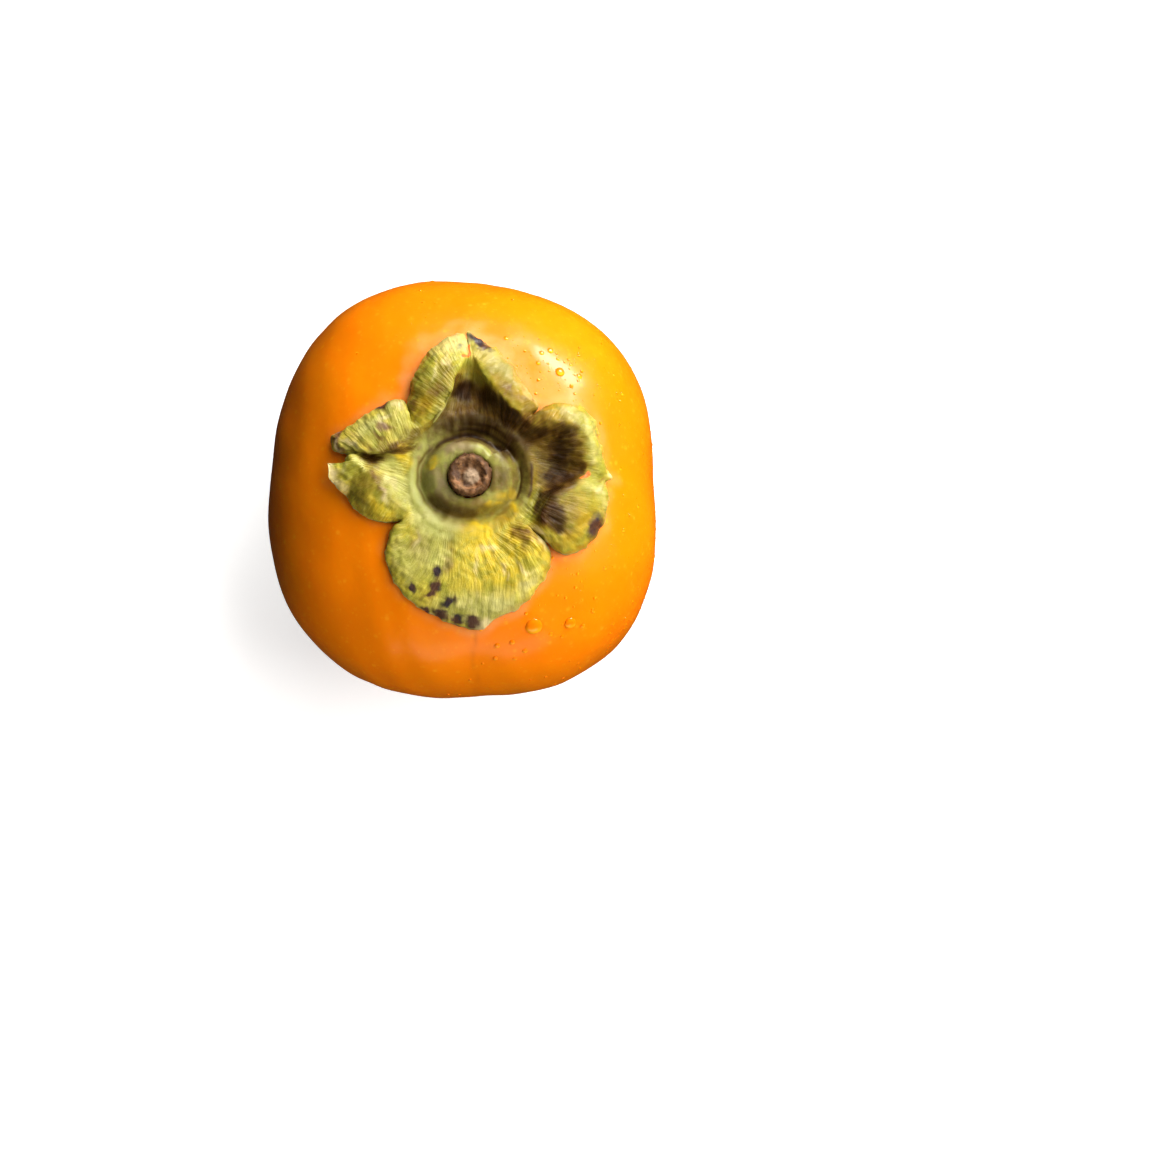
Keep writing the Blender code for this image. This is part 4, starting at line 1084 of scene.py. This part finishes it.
def stemMaterial():
    material, tree, shader = startMaterial("stemCut", Roughness=0.7)
    place = objectCoordinates(tree)
    grain = noiseNode(tree, place, 900.0, 4.0, 0.65)
    blots = noiseNode(tree, place, 420.0, 3.0, 0.6, 0.5)
    wobble = times(tree, mathNode(tree, "SUBTRACT", blots, 0.5), 0.35)
    fromPith = mathNode(tree, "ADD", readAttribute(tree, "fromPith"), wobble)
    colour = tint(tree, stemColours["wood"], stemColours["bark"], grain, 0.35, 0.65)
    colour = tint(tree, colour, stemColours["dark"], blots, 0.52, 0.62, 0.0, 0.9)
    colour = tint(tree, colour, stemColours["fleck"], blots, 0.48, 0.38, 0.0, 0.8)
    colour = tint(tree, colour, stemColours["pith"], fromPith, 0.28, 0.48, 1.0, 0.0)
    colour = tint(tree, colour, stemColours["bark"], fromPith, 0.82, 0.95)
    tree.links.new(colour, shader.inputs["Base Color"])
    tree.links.new(bumpNode(tree, grain, 0.0003), shader.inputs["Normal"])
    return material


styleColours = {"dark": (0.02, 0.011, 0.007), "brown": (0.11, 0.06, 0.03)}


def styleMaterial():
    material, tree, shader = startMaterial("driedStyle", Roughness=0.8)
    grain = noiseNode(tree, objectCoordinates(tree), 1600.0, 3.0, 0.6)
    colour = tint(tree, styleColours["dark"], styleColours["brown"], grain, 0.35, 0.7)
    tree.links.new(colour, shader.inputs["Base Color"])
    tree.links.new(bumpNode(tree, grain, 0.0002), shader.inputs["Normal"])
    return material


dewShape = {
    "density": 260000.0,  # drops per square metre where the dew is thick
    "smallest": 0.12,
    "largest": 0.38,
    "flatness": 0.4,
    "sunk": 0.28,
    "seed": 5,
    "colour": (0.88, 0.19, 0.001),
    # painted light: drops are coloured brighter on the near side, where light gathers
    "litColour": (1.0, 0.40, 0.012),  # on the near side, where light gathers
    # fine dew sits on the right of the fruit: heading, spread in degrees, share
    "around": ((-5.0, 55.0, 0.55), (-60.0, 30.0, 0.25), (95.0, 25.0, 0.12)),
    # thickest towards the upper right: heading and its spread, reach from the middle and its spread, share
    "thickest": (50.0, 16.0, 27.5, 4.5, 2.6),
    "patches": (7.0, 72),  # size and seed of the patches that it gathers in
    "between": 0.25,  # the share left between them
    "clear": 20.0,  # none nearer to the middle than this
    # single larger drops: X and Y from the stem, radius
    "placed": (
        (11.6, -26.9, 1.6), (18.3, -26.2, 1.1), (9.9, -31.2, 0.55), (7.6, -29.8, 0.5), (4.8, -30.4, 0.5),
        (4.4, -32.6, 0.45), (8.0, -32.6, 0.5), (14.6, -28.2, 0.5), (16.8, -28.6, 0.4),
        (20.6, -26.6, 0.45), (16.4, 20.0, 0.9), (20.0, 19.4, 0.6), (13.0, 23.6, 0.5), (14.6, 24.2, 0.6),
        (12.4, 21.6, 0.45), (16.0, 22.6, 0.4), (18.4, 21.6, 0.35), (6.4, 26.4, 0.45), (26.4, 20.6, 0.35),
        (27.6, 2.6, 0.4), (28.2, -8.8, 0.4), (24.8, -16.0, 0.4), (28.0, 17.0, 0.4), (31.0, -4.0, 0.35),
    ),
}


def dewShare(points, heading):
    reach = np.hypot(points[:, 0], points[:, 1])
    middle, spread, distance, depth, most = dewShape["thickest"]
    share = bumps(heading, dewShape["around"])
    share += most * bump(heading, middle, spread) * bump(reach, distance, depth)
    share *= smoothStep(-0.6, 0.6, wander(points, *dewShape["patches"])) + dewShape["between"]
    crown = (points[:, 2] > fruitShape["equatorHeight"]) & (reach > dewShape["clear"])
    return np.where(crown, share, 0.0)


def dropMaterial():
    material, tree, shader = startMaterial(
        "dew", Roughness=0.05, Coat_Weight=0.6, Coat_Roughness=0.03, IOR=1.45,
    )
    # painted light: the near side of each drop is coloured brighter
    colour = tint(tree, dewShape["colour"], dewShape["litColour"], readAttribute(tree, "low"), 0.35, 0.95)
    tree.links.new(colour, shader.inputs["Base Color"])
    return material


def namedAttribute(tree, name, kind="FLOAT"):
    return addNode(tree, "GeometryNodeInputNamedAttribute", {"Name": name}, data_type=kind).outputs[0]


def dewTree(placed):
    # drops scattered by the dew attribute, or one at each point with its own size
    tree = bpy.data.node_groups.new("placedDrops" if placed else "scatteredDew", "GeometryNodeTree")
    sockets = [("Geometry", "Geometry"), ("Flatness", "Float"), ("Drop", "Material")]
    if not placed:
        sockets += [("Density", "Float"), ("Smallest", "Float"), ("Largest", "Float"), ("Seed", "Int")]
    for name, kind in sockets:
        tree.interface.new_socket(name, in_out="INPUT", socket_type="NodeSocket" + kind)
    tree.interface.new_socket("Geometry", in_out="OUTPUT", socket_type="NodeSocketGeometry")
    given = tree.nodes.new("NodeGroupInput").outputs
    if placed:
        dots = addNode(tree, "GeometryNodeMeshToPoints", {"Mesh": given["Geometry"]}).outputs[0]
        up = namedAttribute(tree, "up", "FLOAT_VECTOR")
        turn = addNode(tree, "FunctionNodeAlignRotationToVector", {"Vector": up}, axis="Z").outputs[0]
        size = namedAttribute(tree, "size")
    else:
        density = times(tree, namedAttribute(tree, "dew"), given["Density"])
        inputs = {"Mesh": given["Geometry"], "Density": density, "Seed": given["Seed"]}
        spread = addNode(tree, "GeometryNodeDistributePointsOnFaces", inputs)
        dots = spread.outputs["Points"]
        turn = spread.outputs["Rotation"]
        chance = addNode(tree, "FunctionNodeRandomValue", {"Seed": given["Seed"]}, data_type="FLOAT")
        share = mathNode(tree, "POWER", chance.outputs[1], 4.0)  # most drops are near the smallest
        span = mathNode(tree, "SUBTRACT", given["Largest"], given["Smallest"])
        size = mathNode(tree, "ADD", given["Smallest"], times(tree, share, span))
    detail = {"Segments": 24, "Rings": 12} if placed else {"Segments": 10, "Rings": 6}
    ball = addNode(tree, "GeometryNodeMeshUVSphere", {**detail, "Radius": 1.0}).outputs[0]
    # "low" runs from 0 on a drop's far side to 1 on its near side, and carries the painted light gathered
    # there
    corner = addNode(tree, "GeometryNodeInputPosition").outputs[0]
    depth = addNode(tree, "ShaderNodeSeparateXYZ", {0: corner}).outputs["Y"]
    inputs = {"Geometry": ball, "Name": "low", "Value": mapRange(tree, depth, 1.0, -1.0)}
    marked = addNode(tree, "GeometryNodeStoreNamedAttribute", inputs, data_type="FLOAT", domain="POINT")
    height = times(tree, size, given["Flatness"])
    scale = addNode(tree, "ShaderNodeCombineXYZ", {"X": size, "Y": size, "Z": height}).outputs[0]
    inputs = {"Points": dots, "Instance": marked.outputs[0], "Rotation": turn, "Scale": scale}
    drops = addNode(tree, "GeometryNodeInstanceOnPoints", inputs).outputs[0]
    drops = addNode(tree, "GeometryNodeRealizeInstances", {"Geometry": drops}).outputs[0]
    drops = addNode(tree, "GeometryNodeSetShadeSmooth", {"Geometry": drops}).outputs[0]
    inputs = {"Geometry": drops, "Material": given["Drop"]}
    drops = addNode(tree, "GeometryNodeSetMaterial", inputs).outputs[0]
    tree.links.new(drops, tree.nodes.new("NodeGroupOutput").inputs[0])
    return tree


def runTree(carrier, tree, values, name):
    modifier = carrier.modifiers.new(tree.name, "NODES")
    modifier.node_group = tree
    for item in tree.interface.items_tree:
        if item.in_out == "INPUT" and item.name in values:
            modifier[item.identifier] = values[item.name]
    evaluated = carrier.evaluated_get(bpy.context.evaluated_depsgraph_get())
    mesh = bpy.data.meshes.new_from_object(evaluated)
    carrier.modifiers.remove(modifier)
    made = bpy.data.objects.new(name, mesh)
    bpy.context.scene.collection.objects.link(made)
    return made


def makeDew(skin):
    shape = dewShape
    material = dropMaterial()
    values = {
        "Density": shape["density"],
        "Smallest": shape["smallest"] * mm,
        "Largest": shape["largest"] * mm,
        "Flatness": shape["flatness"],
        "Seed": shape["seed"],
        "Drop": material,
    }
    fine = runTree(skin, dewTree(False), values, "dewFine")
    placed = np.array(shape["placed"])
    flat = placed[:, :2] + stemAxis
    step = 0.2
    slopes = []
    for offset in ((step, 0.0), (0.0, step)):
        slopes.append((skinHeight(flat + offset) - skinHeight(flat - offset)) / (2 * step))
    normals = np.column_stack([-slopes[0], -slopes[1], np.ones(len(flat))])
    normals /= np.linalg.norm(normals, axis=1)[:, None]
    points = np.column_stack([flat, skinHeight(flat)]) - normals * shape["sunk"]
    carrier = makeObject("dropPlaces", points, [], material, {"size": placed[:, 2] * mm})
    carrier.data.attributes.new("up", "FLOAT_VECTOR", "POINT").data.foreach_set("vector", normals.ravel())
    large = runTree(carrier, dewTree(True), values, "dewDrops")
    bpy.data.objects.remove(carrier)
    print("dew", len(fine.data.polygons), len(large.data.polygons), "faces")
    return fine, large


cameraSetup = {
    "lens": 100.0,
    "sensor": 36.0,
    "elevation": 85.0,
    "frameWidth": 0.2223,  # metres across the view at the fruit
    "fruitPlace": (-0.0232, 0.0182),  # the fruit's middle from the view's middle, in metres
}
lightSetup = {
    # degrees round from +X, elevation, distance, width, height, watts, colour, whether it is only reflected
    "key": (54.0, 24.0, 0.55, 0.34, 0.28, 2.7, (1.0, 0.98, 0.95), False),
    "gleam": (56.0, 26.5, 0.55, 0.22, 0.13, 2.2, (1.0, 0.99, 0.97), True),
    "back": (81.0, 22.0, 0.55, 0.34, 0.28, 2.1, (1.0, 0.98, 0.95), False),
    "side": (19.0, 41.5, 0.60, 0.80, 0.80, 9.8, (1.0, 0.98, 0.95), False),
    "front": (-84.0, 19.0, 0.55, 0.50, 0.26, 1.8, (1.0, 0.97, 0.94), False),
    "fill": (205.0, 6.0, 0.80, 0.80, 0.30, 0.18, (1.0, 0.97, 0.94), False),
    "sheen": (-84.0, 8.0, 0.55, 0.50, 0.14, 0.22, (1.0, 0.97, 0.94), True),
}
studioSetup = {
    "aim": (0.0, 0.0, 0.045),
    "ambient": 0.012,
    "sky": (1.0, 0.99, 0.98),
    "floorHalf": 3000.0,
    "floorColour": (0.8, 0.8, 0.8),
    "floorGlow": (1.0, 1.0, 0.995),
    # the floor glows more from the first distance to the last
    "glowFrom": 0.15,
    "glowTo": 0.75,
    "glow": (0.55, 1.0),
}


def makeCamera():
    fruitMiddle = Vector((0.0, 0.0, fruitShape["equatorHeight"] * mm))
    rise = math.radians(cameraSetup["elevation"])
    forward = Vector((0.0, math.cos(rise), -math.sin(rise)))
    right = Vector((1.0, 0.0, 0.0))
    up = right.cross(forward)
    distance = cameraSetup["frameWidth"] * cameraSetup["lens"] / cameraSetup["sensor"]
    across, upward = cameraSetup["fruitPlace"]
    data = bpy.data.cameras.new("camera")
    data.lens = cameraSetup["lens"]
    data.sensor_width = cameraSetup["sensor"]
    camera = bpy.data.objects.new("camera", data)
    camera.location = fruitMiddle - right * across - up * upward - forward * distance
    camera.rotation_euler = forward.to_track_quat("-Z", "Y").to_euler()
    bpy.context.scene.collection.objects.link(camera)
    bpy.context.scene.camera = camera


def makeLights():
    aim = Vector(studioSetup["aim"])
    for name, (turn, rise, distance, width, height, watts, colour, reflection) in lightSetup.items():
        data = bpy.data.lights.new(name, "AREA")
        data.shape = "RECTANGLE"
        data.size = width
        data.size_y = height
        data.energy = watts
        data.color = colour
        turn = math.radians(turn)
        rise = math.radians(rise)
        back = Vector((math.cos(turn) * math.cos(rise), math.sin(turn) * math.cos(rise), math.sin(rise)))
        light = bpy.data.objects.new(name, data)
        light.location = aim + back * distance
        light.rotation_euler = back.to_track_quat("Z", "Y").to_euler()
        light.visible_glossy = reflection
        light.visible_diffuse = not reflection
        bpy.context.scene.collection.objects.link(light)
    print("lights", len(lightSetup))


def makeStudio():
    setup = studioSetup
    world = bpy.data.worlds.new("studio")
    world.use_nodes = True
    tree = world.node_tree
    background = tree.nodes["Background"]
    seen = addNode(tree, "ShaderNodeLightPath").outputs["Is Camera Ray"]
    tree.links.new(mapRange(tree, seen, 0.0, 1.0, setup["ambient"], 1.0), background.inputs["Strength"])
    background.inputs["Color"].default_value = (*setup["sky"], 1.0)
    bpy.context.scene.world = world
    material, tree, shader = startMaterial("paleFloor", Roughness=0.9, Specular_IOR_Level=0.0)
    shader.inputs["Base Color"].default_value = (*setup["floorColour"], 1.0)
    shader.inputs["Emission Color"].default_value = (*setup["floorGlow"], 1.0)
    reach = addNode(tree, "ShaderNodeVectorMath", {0: objectCoordinates(tree)}, operation="LENGTH")
    glow = mapRange(tree, reach.outputs["Value"], setup["glowFrom"], setup["glowTo"], *setup["glow"])
    tree.links.new(glow, shader.inputs["Emission Strength"])
    half = setup["floorHalf"]
    corners = [(-half, -half, 0), (half, -half, 0), (half, half, 0), (-half, half, 0)]
    floor = makeObject("floor", corners, [(0, 1, 2, 3)], material)
    floor.visible_diffuse = False
    floor.visible_glossy = False
    bpy.context.scene.view_settings.view_transform = "Standard"
    bpy.context.scene.view_settings.look = "None"


makeCamera()
makeLights()
makeStudio()
calyx, calyxOutline = makeCalyx(calyxMaterial())
skin = makeSkin(skinMaterial(), calyxOutline)
stem = makeStem(stemMaterial())
style = makeStyle(styleMaterial())
dewFine, dewDrops = makeDew(skin)
for piece, slotName, nodes in (
    (skin, "skin", ("fruit",)),
    (calyx, "sepal", ("calyx_disc", "sepal_back", "sepal_left", "sepal_front", "sepal_right")),
    (stem, "stem", ("stem_stub",)),
    (style, "dry_style", ("style_scar",)),
):
    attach(piece, "root")
    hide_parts(*nodes)
for piece in (dewFine, dewDrops):
    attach(piece, "root")
